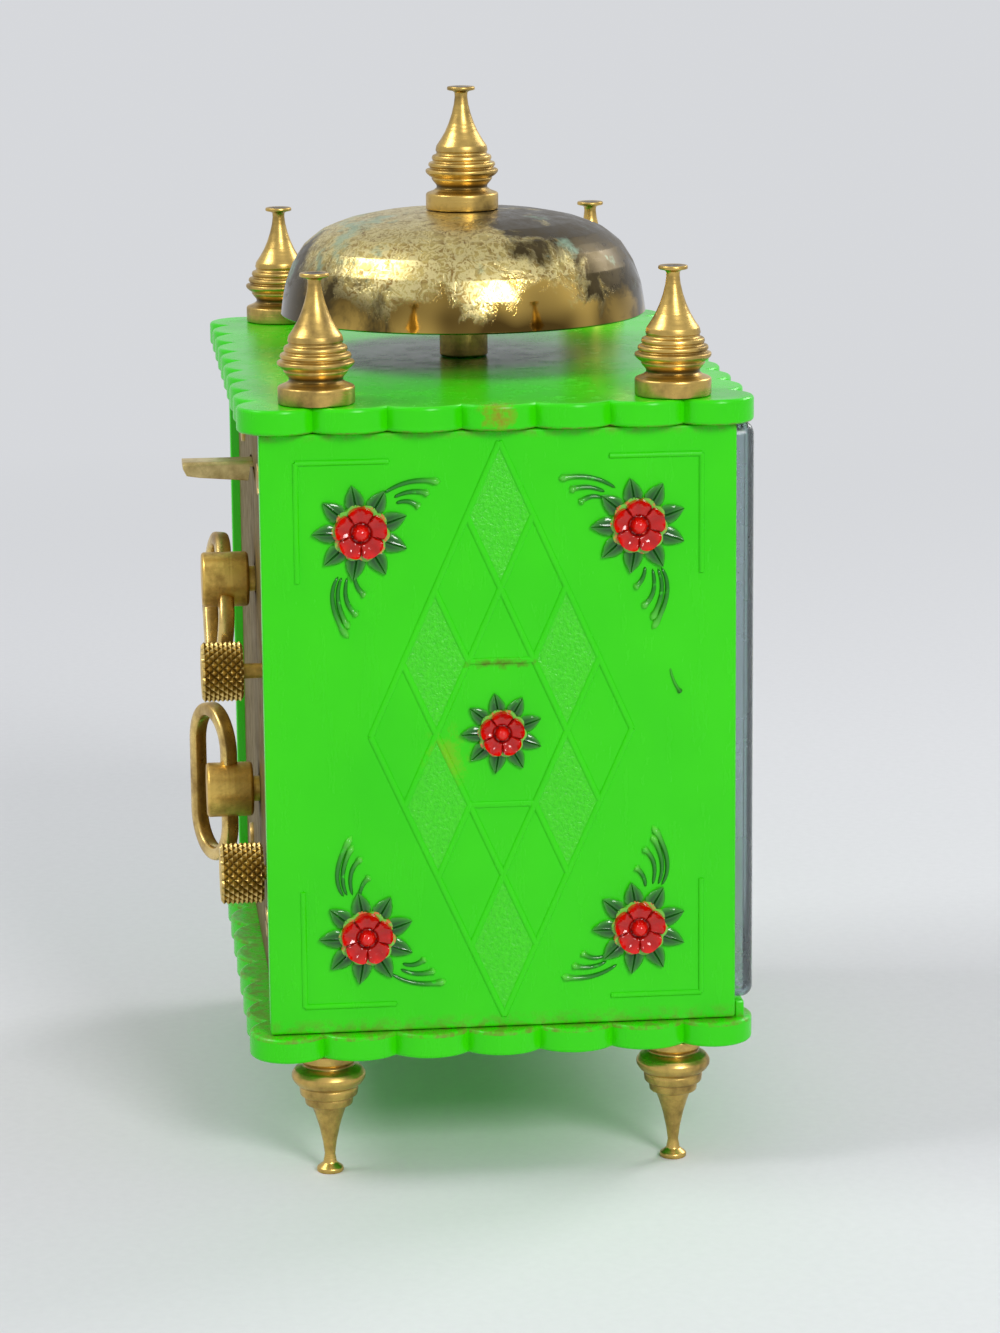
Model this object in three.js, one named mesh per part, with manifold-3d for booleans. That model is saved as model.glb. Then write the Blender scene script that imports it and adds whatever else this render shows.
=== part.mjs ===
// A small wind-up alarm clock: a green box case between two scalloped plates, a brass bell on top,
// turned brass finials and feet, folding winding keys at the back and the going and alarm work inside.
// Millimetres, +Z up. The dial faces -Y, the keys +Y, and the clock stands on z = 0.
import * as THREE from "three";
import { mergeVertices } from "three/addons/utils/BufferGeometryUtils.js";
import Module from "manifold-3d";

const wasm = await Module();
wasm.setup();

// Driving dimensions.
const lobePitch = 7.5; // one scallop of the plates
const lobesWide = 10;
const lobesDeep = 7;
const lobeRise = 1.7; // how far a scallop stands out from the notches beside it
const plateThickness = 2.6;
const footHeight = 13.2;
const caseHeight = 62.6; // between the two plates
const panelThickness = 2.0;
const dialPlateFace = 22.4; // the dial plate's front, from the clock's middle
const sheetRecess = 1.77; // the dial and back plates lie this far inside the panels' edges
const panelReach = dialPlateFace + sheetRecess; // the panels' front and back edges
const seat = 0.1; // between fixed pieces that touch
const clearance = 0.3; // beside anything that moves
const overrun = 1.0; // how far a cutting tool passes the faces it cuts

const width = lobePitch * lobesWide;
const depth = lobePitch * lobesDeep;
const caseBottom = footHeight + plateThickness;
const caseTop = caseBottom + caseHeight;
const clockTop = caseTop + plateThickness; // the upper face of the top plate
const caseMiddle = caseBottom + caseHeight / 2;
const panelFace = width / 2 - lobeRise; // the panels stand flush with the notches
const panelInside = panelFace - panelThickness;

const facets = { fine: 26, turned: 12, rod: 8 };

const materials = {
  green: () => new THREE.MeshStandardMaterial({ color: "#35d810", roughness: 0.32, metalness: 0 }),
  brass: () => new THREE.MeshStandardMaterial({ color: "#c79a3c", roughness: 0.3, metalness: 1 }),
  plainBrass: () => new THREE.MeshStandardMaterial({ color: "#b58a38", roughness: 0.45, metalness: 1 }),
  steel: () => new THREE.MeshStandardMaterial({ color: "#8d8f92", roughness: 0.35, metalness: 1 }),
  clear: () =>
    new THREE.MeshStandardMaterial({ color: "#e9f4f2", roughness: 0.05, transparent: true, opacity: 0.3 }),
  enamel: () => new THREE.MeshStandardMaterial({ color: "#f2ecd8", roughness: 0.4, metalness: 0 }),
  black: () => new THREE.MeshStandardMaterial({ color: "#16181a", roughness: 0.4, metalness: 0.2 }),
};

const clock = new THREE.Group();

// Solids: a closed geometry goes in, and joins and cuts give the next one.
function solid(geometry) {
  const bare = geometry.clone();
  bare.deleteAttribute("normal");
  bare.deleteAttribute("uv");
  const merged = mergeVertices(bare);
  return new wasm.Manifold(
    new wasm.Mesh({
      numProp: 3,
      vertProperties: new Float32Array(merged.attributes.position.array),
      triVerts: new Uint32Array(merged.index.array),
    }),
  );
}

function geometryOf(body) {
  const mesh = body.getMesh();
  const geometry = new THREE.BufferGeometry();
  geometry.setAttribute("position", new THREE.BufferAttribute(new Float32Array(mesh.vertProperties), 3));
  geometry.setIndex(new THREE.BufferAttribute(new Uint32Array(mesh.triVerts), 1));
  return geometry.toNonIndexed();
}

const joined = (...bodies) => bodies.reduce((whole, body) => whole.add(body));
const cutBy = (body, ...tools) => tools.reduce((rest, tool) => rest.subtract(tool), body);

function piece(name, body, material, x = 0, y = 0, z = 0) {
  const geometry = geometryOf(body);
  geometry.computeVertexNormals();
  const mesh = new THREE.Mesh(geometry, material);
  mesh.name = name;
  mesh.position.set(x, y, z);
  clock.add(mesh);
  return mesh;
}

const outline = (points) => new THREE.Shape(points.map(([x, y]) => new THREE.Vector2(x, y)));

// A flat plate from z = 0 up, and a sheet that stands across Y from y = 0 back to its thickness.
const slab = (shape, thickness) =>
  solid(new THREE.ExtrudeGeometry(shape, { depth: thickness, bevelEnabled: false, curveSegments: 6 }));
const sheet = (shape, thickness) =>
  solid(
    new THREE.ExtrudeGeometry(shape, { depth: thickness, bevelEnabled: false, curveSegments: 6 })
      .rotateX(Math.PI / 2)
      .translate(0, thickness, 0),
  );

// Turned pieces: profiles are [radius, height] from the foot of the axis to its top.
const turned = (profile, sides) =>
  new THREE.LatheGeometry(
    profile.map(([r, h]) => new THREE.Vector2(r, h)),
    sides,
  );
const turnedUp = (profile, sides) => solid(turned(profile, sides).rotateX(Math.PI / 2));
const turnedAlongY = (profile, sides) => solid(turned(profile, sides));

// A round bar along Y from one station to another, and one that stands up along Z.
const barAlongY = (radius, from, to, sides = facets.rod) =>
  turnedAlongY(
    [
      [0, from],
      [radius, from],
      [radius, to],
      [0, to],
    ],
    sides,
  );
const barUp = (radius, from, to, sides = facets.rod) =>
  turnedUp(
    [
      [0, from],
      [radius, from],
      [radius, to],
      [0, to],
    ],
    sides,
  );

function block([x0, x1], [y0, y1], [z0, z1]) {
  return solid(
    new THREE.BoxGeometry(x1 - x0, y1 - y0, z1 - z0).translate((x0 + x1) / 2, (y0 + y1) / 2, (z0 + z1) / 2),
  );
}

const rectangle = (left, right, low, high) =>
  outline([
    [left, low],
    [right, low],
    [right, high],
    [left, high],
  ]);

// An arc as points, from one angle to another about a centre.
function arcPoints(cx, cy, radius, from, to, steps) {
  const points = [];
  for (let i = 0; i <= steps; i += 1) {
    const angle = from + ((to - from) * i) / steps;
    points.push([cx + radius * Math.cos(angle), cy + radius * Math.sin(angle)]);
  }
  return points;
}

// The scalloped plates. Each scallop is an arc over one pitch, and a fuller one turns each corner.
const lobeSteps = 4;
const cornerSteps = 8;

const cornerLobes = 2; // the fuller arcs at the corners take the first and last pitch of each side
const east = [1, 0];
const north = [0, 1];
const west = [-1, 0];
const south = [0, -1];

function scallopedOutline() {
  const x = width / 2;
  const y = depth / 2;
  const radius = (lobePitch ** 2 / 4 + lobeRise ** 2) / (2 * lobeRise);
  const half = Math.asin(lobePitch / 2 / radius);
  const legX = x - (lobePitch + lobeRise) / 2;
  const legY = y - (lobePitch + lobeRise) / 2;
  const chord = (lobePitch - lobeRise) / Math.SQRT2;
  const reach = (lobePitch + lobeRise) / 2;
  const shift = Math.sqrt(4 * reach ** 2 - 2 * chord ** 2) - Math.SQRT2 * reach;
  const cornerRadius = Math.hypot(chord, shift);
  const cornerHalf = Math.PI - Math.atan2(chord, shift);
  const points = [];
  const edge = (count, startX, startY, along, outward) => {
    for (let k = 0; k < count; k += 1) {
      const cx = startX + along[0] * lobePitch * (k + 0.5) - outward[0] * (radius - lobeRise);
      const cy = startY + along[1] * lobePitch * (k + 0.5) - outward[1] * (radius - lobeRise);
      const middle = Math.atan2(outward[1], outward[0]);
      points.push(...arcPoints(cx, cy, radius, middle - half, middle + half, lobeSteps).slice(0, -1));
    }
  };
  const corner = (signX, signY) => {
    const cx = signX * (legX + shift / Math.SQRT2);
    const cy = signY * (legY + shift / Math.SQRT2);
    const middle = Math.atan2(signY, signX);
    const arc = arcPoints(cx, cy, cornerRadius, middle - cornerHalf, middle + cornerHalf, cornerSteps);
    points.push(...arc.slice(0, -1));
  };
  edge(lobesDeep - cornerLobes, x - lobeRise, -y + lobePitch, north, east);
  corner(1, 1);
  edge(lobesWide - cornerLobes, x - lobePitch, y - lobeRise, west, north);
  corner(-1, 1);
  edge(lobesDeep - cornerLobes, -x + lobeRise, y - lobePitch, south, west);
  corner(-1, -1);
  edge(lobesWide - cornerLobes, -x + lobePitch, -y + lobeRise, east, south);
  corner(1, -1);
  return outline(points);
}

// Four rods tie the plates together, and the finials and feet are the nuts on their ends.
const rod = { x: 32.7, y: 18.1, radius: 0.8 };
const corners = [
  ["front_left", -1, -1],
  ["front_right", 1, -1],
  ["rear_left", -1, 1],
  ["rear_right", 1, 1],
];
const postStud = { radius: 1.4 }; // screws the bell's post to the top plate

// The hammer: a wire arm on an arbor, swinging about Y, with its head inside the bell.
const hammerRise = 14.4; // its arbor above the middle of the case
const hammerHeadRise = 7.6; // its head above the top plate
const hammer = {
  x: 14.2,
  z: caseMiddle + hammerRise,
  armRadius: 0.6,
  headRadius: 2.0,
  headZ: clockTop + hammerHeadRise,
  swingOut: 3.8,
  swingIn: 2,
};

const degrees = Math.PI / 180;
const plateOutline = scallopedOutline();
const rodHole = () => barUp(rod.radius + seat, -overrun, plateThickness + overrun);

function plateWithRodHoles() {
  const holes = corners.map(([, sx, sy]) => rodHole().translate([sx * rod.x, sy * rod.y, 0]));
  return cutBy(slab(plateOutline, plateThickness), ...holes);
}

// The bottom plate has a low sill along its front, which the clear front stands on.
const frontMargin = 0.6; // from the panels' faces to the ends of the sill and of the clear front
const sillGap = 0.13; // between the panels' edges and the sill
const sillThickness = 0.9;
const sillBack = -panelReach - sillGap;
const sill = { halfWidth: panelFace - frontMargin, front: sillBack - sillThickness, back: sillBack, height: 1.7 };
const sillSolid = block(
  [-sill.halfWidth, sill.halfWidth],
  [sill.front, sill.back],
  [plateThickness - seat, plateThickness + sill.height],
);
piece("bottom_plate", plateWithRodHoles().add(sillSolid), materials.green(), 0, 0, footHeight);

const slotReach = (angle) => (clockTop - hammer.z) * Math.sin(angle * degrees);
const hammerSlot = block(
  [
    hammer.x - slotReach(hammer.swingIn) - hammer.armRadius - clearance,
    hammer.x + slotReach(hammer.swingOut) + hammer.armRadius + clearance,
  ],
  [-hammer.armRadius - clearance, hammer.armRadius + clearance],
  [-overrun, plateThickness + overrun],
);
const postHole = barUp(postStud.radius + seat, -overrun, plateThickness + overrun);
piece("top_plate", cutBy(plateWithRodHoles(), hammerSlot, postHole), materials.green(), 0, 0, caseTop);

for (const [where, sx, sy] of corners) {
  const bar = barUp(rod.radius, seat, clockTop - footHeight - seat);
  piece("tie_rod_" + where, bar, materials.steel(), sx * rod.x, sy * rod.y, footHeight);
}

// Turned finials: a base, a flange, a stepped ring, then a hollow cone up to a small disc.
const finial = {
  height: 13.1,
  profile: [
    [3.9, 0],
    [3.9, 1.7],
    [2.65, 2.4],
    [3.9, 4.2],
    [3.75, 4.7],
    [3.3, 5.3],
    [2.75, 6.8],
    [1.5, 8.6],
    [0.65, 11.7],
    [1.5, 12.6],
    [1.5, 13.1],
  ],
};
const finialSolid = () =>
  turnedUp([[0, 0], ...finial.profile, [0, finial.height]], facets.turned);

for (const [where, sx, sy] of corners)
  piece("finial_" + where, finialSolid(), materials.brass(), sx * rod.x, sy * rod.y, clockTop + seat);

// Turned feet, from the disc on the table up to the collar under the plate.
const foot = {
  x: 32.6,
  profile: [
    [1.4, 0],
    [1.4, 0.6],
    [0.55, 1.9],
    [1.1, 4.9],
    [1.8, 7.3],
    [2.6, 8.0],
    [3.2, 9.3],
    [3.85, 10.5],
    [2.6, 11.7],
    [2.9, 13.1],
  ],
};
const footTop = foot.profile.at(-1)[1];
for (const [where, sx, sy] of corners) {
  const body = turnedUp([[0, 0], ...foot.profile, [0, footTop]], facets.turned);
  piece("foot_" + where, body, materials.brass(), sx * foot.x, sy * rod.y, 0);
}

// Side panels. The relief is drawn in the panel's own frame: u along the panel, v up from its middle.
const panel = { halfWidth: panelReach, relief: 0.7, barWidth: 0.75 };
const latticeMargin = 1.3; // between the diamond's points and the plates
const flowerMargin = 10.2; // between a corner flower's middle and the plate beyond it
const lattice = { halfWidth: 13.4, halfHeight: caseHeight / 2 - latticeMargin, cells: 4 };
const bracket = { inset: 3.6, drop: 3.0, across: 9.4, down: 12.2 };
const flower = {
  x: 14.1,
  z: caseHeight / 2 - flowerMargin,
  petals: 5,
  petalReach: 2.65,
  petalWaist: 1.5,
  petalHeight: 1.2,
  leaves: 8,
  leafReach: 4.9,
  leafWaist: 2.2,
  leafHeight: 0.6,
  beadRadius: 0.8,
  beadHeight: 1.6,
};
const panelMiddle = caseHeight / 2;

// A polygon drawn in towards its middle by half a bar, so that bars are left between such holes.
function inset(points, middle, distance) {
  const gap = (p, q) => {
    const along = [q[0] - p[0], q[1] - p[1]];
    const to = [middle[0] - p[0], middle[1] - p[1]];
    return Math.abs(along[0] * to[1] - along[1] * to[0]) / Math.hypot(...along);
  };
  const nearest = Math.min(...points.map((p, i) => gap(p, points[(i + 1) % points.length])));
  const share = 1 - distance / nearest;
  return points.map(([x, y]) => [middle[0] + (x - middle[0]) * share, middle[1] + (y - middle[1]) * share]);
}

function latticeShape() {
  const { halfWidth: a, halfHeight: b, cells } = lattice;
  const half = panel.barWidth / 2;
  const du = a / cells;
  const dv = b / cells;
  const frame = outline(
    inset(
      [
        [a, 0],
        [0, b],
        [-a, 0],
        [0, -b],
      ],
      [0, 0],
      -half,
    ),
  );
  const hole = (points, middle) => frame.holes.push(outline(inset(points, middle, half).reverse()));
  for (let i = 0; i < cells; i += 1)
    for (let j = 0; j < cells; j += 1) {
      const cu = (i - j) * du;
      const cv = (cells - 1 - i - j) * dv;
      const central = Math.abs(cu) <= du && Math.abs(cv) <= dv;
      if (central) continue;
      hole(
        [
          [cu + du, cv],
          [cu, cv + dv],
          [cu - du, cv],
          [cu, cv - dv],
        ],
        [cu, cv],
      );
    }
  hole(
    [
      [2 * du, 0],
      [du, dv],
      [-du, dv],
      [-2 * du, 0],
      [-du, -dv],
      [du, -dv],
    ],
    [0, 0],
  );
  const side = Math.hypot(du, dv);
  const inradius = (du * dv) / (du + side);
  for (const s of [1, -1]) {
    const triangle = [
      [s * du, s * dv],
      [0, 2 * s * dv],
      [-s * du, s * dv],
    ];
    hole(triangle, [0, s * (dv + inradius)]);
  }
  return frame;
}

// A star of points about a middle: petals and leaves alike, from the waist between them to their tips.
const starOutline = (count, reach, waist) =>
  outline(
    Array.from({ length: 2 * count }, (_, i) => {
      const radius = i % 2 ? waist : reach;
      const angle = Math.PI / 2 + (Math.PI * i) / count;
      return [radius * Math.cos(angle), radius * Math.sin(angle)];
    }),
  );

// A petal flower is rounder than a star: each petal is blunt at its tip.
function petalOutline() {
  const step = (2 * Math.PI) / flower.petals;
  const spread = step / 5;
  const points = [];
  for (let i = 0; i < flower.petals; i += 1) {
    const middle = Math.PI / 2 + i * step;
    for (const turn of [-spread, spread])
      points.push([flower.petalReach * Math.cos(middle + turn), flower.petalReach * Math.sin(middle + turn)]);
    const between = middle + step / 2;
    points.push([flower.petalWaist * Math.cos(between), flower.petalWaist * Math.sin(between)]);
  }
  return outline(points);
}

function flowerSolid() {
  const sunk = panel.relief; // each layer starts inside the panel
  const layer = (shape, height) => slab(shape, height + sunk).translate([0, 0, -sunk]);
  return joined(
    layer(starOutline(flower.leaves, flower.leafReach, flower.leafWaist), flower.leafHeight),
    layer(petalOutline(), flower.petalHeight),
    barUp(flower.beadRadius, -sunk, flower.beadHeight, 6),
  );
}

function bracketShape(su, sv) {
  const u = panel.halfWidth - bracket.inset;
  const v = caseHeight / 2 - bracket.drop;
  const half = panel.barWidth / 2;
  return outline([
    [su * (u + half), sv * (v + half)],
    [su * (u - bracket.across), sv * (v + half)],
    [su * (u - bracket.across), sv * (v - half)],
    [su * (u - half), sv * (v - half)],
    [su * (u - half), sv * (v - bracket.down)],
    [su * (u + half), sv * (v - bracket.down)],
  ]);
}

function panelSolid() {
  const relief = (shape) => slab(shape, panel.relief + panel.barWidth).translate([0, 0, -panel.barWidth]);
  const flowers = [
    [0, 0],
    [-1, -1],
    [1, -1],
    [-1, 1],
    [1, 1],
  ].map(([su, sv]) => flowerSolid().translate([su * flower.x, sv * flower.z, 0]));
  const brackets = [-1, 1].flatMap((su) => [-1, 1].map((sv) => relief(bracketShape(su, sv))));
  const low = -panelMiddle + seat;
  const high = panelMiddle - seat;
  const plain = slab(rectangle(-panel.halfWidth, panel.halfWidth, low, high), panelThickness);
  return joined(plain.translate([0, 0, -panelThickness]), relief(latticeShape()), ...brackets, ...flowers);
}

// In the panel's frame the relief faces +Z, and these turns face it to -X and to +X.
for (const [where, side] of [
  ["left", -1],
  ["right", 1],
]) {
  const standing = panelSolid().rotate([90, 0, side * 90]);
  piece(where + "_side_panel", standing, materials.green(), side * panelFace, 0, caseBottom + panelMiddle);
}

// The bell on its post, with a turned finial as the nut on top.
const bell = {
  rimLift: 4.8, // above the top plate
  wall: 0.9,
  bore: 1.3,
  profile: [
    [19.75, 0],
    [19.5, 2.2],
    [18.9, 4.4],
    [17.9, 6.5],
    [16.4, 8.3],
    [14.0, 9.6],
    [11.0, 10.4],
    [7.5, 10.9],
    [3.7, 11.05],
  ],
};
const crown = bell.profile.at(-1)[1];

function bellSolid() {
  const outside = [...bell.profile, [bell.bore, crown]];
  const kept = bell.profile.filter((_, i) => i % 2 === 0);
  const inside = kept.map(([r, h]) => [r - bell.wall, Math.max(h - bell.wall, 0)]);
  const lining = [[bell.bore, crown - bell.wall], ...inside.reverse()];
  return turnedUp([...outside, ...lining, outside[0]], facets.fine);
}

const bellRim = clockTop + bell.rimLift;
piece("bell", bellSolid(), materials.brass(), 0, 0, bellRim);
piece("bell_finial", finialSolid(), materials.brass(), 0, 0, bellRim + crown + seat);

const post = { radius: 2.6, tipRadius: 1.1 };
const postTop = bell.rimLift + crown - bell.wall - seat; // the shoulder that carries the bell
piece(
  "bell_post",
  turnedUp(
    [
      [0, -plateThickness],
      [postStud.radius, -plateThickness],
      [postStud.radius, seat],
      [post.radius, seat],
      [post.radius, postTop],
      [post.tipRadius, postTop],
      [post.tipRadius, postTop + seat + bell.wall],
      [0, postTop + seat + bell.wall],
    ],
    facets.turned,
  ),
  materials.brass(),
  0,
  0,
  clockTop,
);

// Stations along Y, from the dial at the front to the keys at the back.
const dialMargin = 4.8; // between the dial and the plates
const dialThickness = 0.4;
const dial = { face: -dialPlateFace - dialThickness, thickness: dialThickness, radius: caseHeight / 2 - dialMargin };
const dialPlate = { front: -dialPlateFace, thickness: 0.6 };
const backPlate = { front: panelReach - sheetRecess, thickness: 0.8 };
const backFace = backPlate.front + backPlate.thickness;
const frontPlate = { front: -15.6, thickness: 1.2 }; // the two plates of the movement
const rearPlate = { front: 14.5, thickness: 1.2 };
const frontInside = frontPlate.front + frontPlate.thickness;
const rearFace = rearPlate.front + rearPlate.thickness;

// Arbor places, as seen from the front: x to the right, z up. The centre stands above the middle of the
// case, and the others above or below the centre.
const arborRise = { centre: 0.05, time: -13.75, alarm: 9.85, handSet: -19.75, alarmSet: 2.45, stop: 3.35 };
const knobX = -13.6; // the setting knobs stand beside the keys
const centre = { x: 0, z: caseMiddle + arborRise.centre };
const timeArbor = { x: 0, z: centre.z + arborRise.time };
const alarmArbor = { x: 0, z: centre.z + arborRise.alarm };
const handSetArbor = { x: knobX, z: centre.z + arborRise.handSet };
const alarmSetArbor = { x: knobX, z: centre.z + arborRise.alarmSet };
const stopPivot = { x: 0, z: centre.z + arborRise.stop };

const distance = (p, q) => Math.hypot(p.x - q.x, p.z - q.z);
const direction = (p, q) => Math.atan2(q.z - p.z, q.x - p.x);
const offset = (p, length, angle) => ({ x: p.x + length * Math.cos(angle), z: p.z + length * Math.sin(angle) });

// Tooth numbers. Each pair's module follows from the distance between its arbors.
const teeth = {
  timeBarrel: 30,
  centrePinion: 6,
  centreWheel: 30,
  thirdPinion: 6,
  thirdWheel: 24,
  escapePinion: 6,
  escapeWheel: 12,
  alarmBarrel: 24,
  strikePinion: 6,
  strikeWheel: 9,
  cannonPinion: 8,
  minuteWheel: 24,
  minutePinion: 6,
  hourWheel: 24,
  handSetPinion: 8,
  alarmSetPinion: 7,
  alarmWheel: 21,
  ratchet: 12,
};
const moduleOf = (reach, a, b) => (2 * reach) / (a + b);

const trainReach = { centreToThird: 9.0, thirdToEscape: 8.1, escapeToLever: 5.6, leverToBalance: 8.7 };
const third = offset(centre, trainReach.centreToThird, -10 * degrees);
const escape = offset(third, trainReach.thirdToEscape, -50 * degrees);
const lever = offset(escape, trainReach.escapeToLever, -100 * degrees);
const balance = offset(lever, trainReach.leverToBalance, -140 * degrees);
const strikeReach = 9.0;
const strike = offset(alarmArbor, strikeReach, -10 * degrees);
const motionReach = 12.0; // from the minute wheel to the centre and to the hand-setting arbor
const halfway = distance(centre, handSetArbor) / 2;
const minute = offset(
  centre,
  motionReach,
  direction(centre, handSetArbor) + Math.acos(halfway / motionReach),
);

// A wheel's outline: straight-sided pointed teeth with working backlash.
const toothShares = { addendum: 0.9, dedendum: 1.3, halfRoot: 0.36 };

function gearOutline(count, module, phase) {
  const pitch = (count * module) / 2;
  const tip = pitch + toothShares.addendum * module;
  const root = pitch - toothShares.dedendum * module;
  const step = (2 * Math.PI) / count;
  const points = [];
  for (let i = 0; i < count; i += 1) {
    const middle = phase + i * step;
    const at = (radius, share) => [
      radius * Math.cos(middle + share * step),
      radius * Math.sin(middle + share * step),
    ];
    points.push(at(root, -toothShares.halfRoot), at(tip, 0), at(root, toothShares.halfRoot));
  }
  return outline(points);
}

// Leaning teeth, for escape, strike and ratchet wheels.
function sawOutline(count, tip, root, phase) {
  const step = (2 * Math.PI) / count;
  const points = [];
  for (let i = 0; i < count; i += 1) {
    const middle = phase + i * step;
    points.push([tip * Math.cos(middle), tip * Math.sin(middle)]);
    const behind = middle + step / 6;
    points.push([root * Math.cos(behind), root * Math.sin(behind)]);
  }
  return outline(points);
}

// The follower's phase that puts a space where the driver has a tooth, along the line to it.
const meshed = (driverPhase, driverTeeth, followerTeeth, angle) =>
  angle + Math.PI + (Math.PI - driverTeeth * (driverPhase - angle)) / followerTeeth;

const at = (body, y) => body.translate([0, y, 0]);
const wheel = (count, module, phase, from, to) => at(sheet(gearOutline(count, module, phase), to - from), from);

// Each ratchet's click is a small pawl that lets the key turn one way only, pinned to the rear plate.
const click = { reach: 6.0, angle: 35, radius: 0.9, behind: 50 };
const clickPins = [timeArbor, alarmArbor].map((place) => offset(place, click.reach, click.angle * degrees));

// The movement's plates and pillars. The pillars also stand the movement off the case's two sheets.
const movementInset = { low: 5.2, high: 5.4 }; // from the case's two plates
const pillarInset = { low: 2.2, high: 2.0 }; // from the edges of the movement's plates
const movement = { halfWidth: 20.6, low: caseBottom + movementInset.low, high: caseTop - movementInset.high };
const pillar = {
  x: 18.2,
  low: movement.low + pillarInset.low,
  high: movement.high - pillarInset.high,
  radius: 1.8,
  neck: 1.1,
};
const pivot = { radius: 0.5, hole: 0.65 };

const bores = (thickness, places) =>
  places.map(([place, radius]) =>
    barAlongY(radius, -overrun, thickness + overrun).translate([place.x, 0, place.z]),
  );
const pillarPlaces = [
  ["lower_left", { x: -pillar.x, z: pillar.low }],
  ["lower_right", { x: pillar.x, z: pillar.low }],
  ["upper_left", { x: -pillar.x, z: pillar.high }],
  ["upper_right", { x: pillar.x, z: pillar.high }],
];
const pillarHoles = pillarPlaces.map(([, place]) => [place, pillar.neck + seat]);
const movementBlank = (thickness) =>
  sheet(rectangle(-movement.halfWidth, movement.halfWidth, movement.low, movement.high), thickness);

const shaft = { winding: 1.4, setting: 0.8, centre: 0.6 };
const running = 0.15; // between a shaft and its hole

piece(
  "movement_front_plate",
  cutBy(
    movementBlank(frontPlate.thickness),
    ...bores(frontPlate.thickness, [
      ...pillarHoles,
      [centre, shaft.centre + running],
      [timeArbor, pivot.hole],
      [alarmArbor, pivot.hole],
      [third, pivot.hole],
      [escape, pivot.hole],
      [lever, pivot.hole],
      [balance, pivot.hole],
      [strike, pivot.hole],
      [minute, pivot.hole],
      [{ x: hammer.x, z: hammer.z }, pivot.hole],
      [handSetArbor, shaft.setting + running],
      [alarmSetArbor, shaft.setting + running],
    ]),
  ),
  materials.plainBrass(),
  0,
  frontPlate.front,
  0,
);

piece(
  "movement_rear_plate",
  cutBy(
    movementBlank(rearPlate.thickness),
    ...bores(rearPlate.thickness, [
      ...pillarHoles,
      [centre, shaft.centre + running],
      [timeArbor, shaft.winding + running],
      [alarmArbor, shaft.winding + running],
      [third, pivot.hole],
      [escape, pivot.hole],
      [lever, pivot.hole],
      [strike, pivot.hole],
      [{ x: hammer.x, z: hammer.z }, pivot.hole],
      [handSetArbor, shaft.setting + running],
      [alarmSetArbor, shaft.setting + running],
      [stopPivot, pivot.hole],
      ...clickPins.map((place) => [place, pivot.hole]),
    ]),
  ),
  materials.plainBrass(),
  0,
  rearPlate.front,
  0,
);

for (const [where, place] of pillarPlaces)
  piece(
    "movement_pillar_" + where,
    turnedAlongY(
      [
        [0, dialPlate.front + dialPlate.thickness + seat],
        [pillar.radius, dialPlate.front + dialPlate.thickness + seat],
        [pillar.radius, frontPlate.front - seat],
        [pillar.neck, frontPlate.front - seat],
        [pillar.neck, frontInside + seat],
        [pillar.radius, frontInside + seat],
        [pillar.radius, rearPlate.front - seat],
        [pillar.neck, rearPlate.front - seat],
        [pillar.neck, rearFace + seat],
        [pillar.radius, rearFace + seat],
        [pillar.radius, backPlate.front - seat],
        [0, backPlate.front - seat],
      ],
      facets.rod,
    ),
    materials.steel(),
    place.x,
    0,
    place.z,
  );

// The sheets that close the case, front and back, stand between the side panels.
const caseSheet = (thickness) =>
  sheet(
    rectangle(-panelInside + clearance, panelInside - clearance, caseBottom + seat, caseTop - seat),
    thickness,
  );

// Dial plate, dial and the box-shaped clear front that sits over them.
const handHole = 2.75;
piece(
  "dial_plate",
  cutBy(caseSheet(dialPlate.thickness), ...bores(dialPlate.thickness, [[centre, handHole]])),
  materials.brass(),
  0,
  dialPlate.front,
  0,
);
piece(
  "dial",
  turnedAlongY(
    [
      [handHole, 0],
      [dial.radius, 0],
      [dial.radius, dial.thickness - seat],
      [handHole, dial.thickness - seat],
      [handHole, 0],
    ],
    facets.fine,
  ),
  materials.enamel(),
  centre.x,
  dial.face,
  centre.z,
);

const crystalDepth = 1.93; // how far the clear front stands out before the panels
const crystalBack = -panel.halfWidth - seat;
const crystal = {
  halfWidth: sill.halfWidth,
  low: caseBottom + sill.height + seat,
  front: crystalBack - crystalDepth,
  wall: 1.0,
  round: 1.6,
};

function crystalSolid() {
  const low = crystal.low;
  const high = caseTop - seat;
  const profile = outline([
    [crystalBack, low],
    [crystalBack, high],
    [crystal.front, high],
    ...arcPoints(
      crystal.front + crystal.round,
      low + crystal.round,
      crystal.round,
      Math.PI,
      1.5 * Math.PI,
      lobeSteps,
    ),
  ]);
  const outer = slab(profile, 2 * crystal.halfWidth)
    .rotate([90, 0, 90])
    .translate([-crystal.halfWidth, 0, 0]);
  const hollow = block(
    [-crystal.halfWidth + crystal.wall, crystal.halfWidth - crystal.wall],
    [crystal.front + crystal.wall, crystalBack + overrun],
    [low + crystal.round, high - crystal.wall],
  );
  return cutBy(outer, hollow);
}

piece("crystal", crystalSolid(), materials.clear());

// Back sheet, with holes for the winding and setting shafts and a slot for the stop lever.
const key = { hub: 3.0, from: 23.9, to: 29.0, chamfer: 0.25, cross: 26.5 };
const stopRise = 19.7; // the lever's top above its pivot
const stop = {
  halfWidth: 1.65,
  thickness: 0.6,
  top: stopPivot.z + stopRise,
  reach: 30.8,
  skirt: 2.1, // the side that is turned down, outside the case
  skirtFrom: backFace + clearance,
  swing: 11,
  arm: 1.8,
  dogleg: 5.2,
  lowShare: 0.65,
  highShare: 1.45,
};
const stopArmFront = rearFace + clearance;
const stopRadius = stop.top - stop.thickness / 2 - stopPivot.z;

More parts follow.
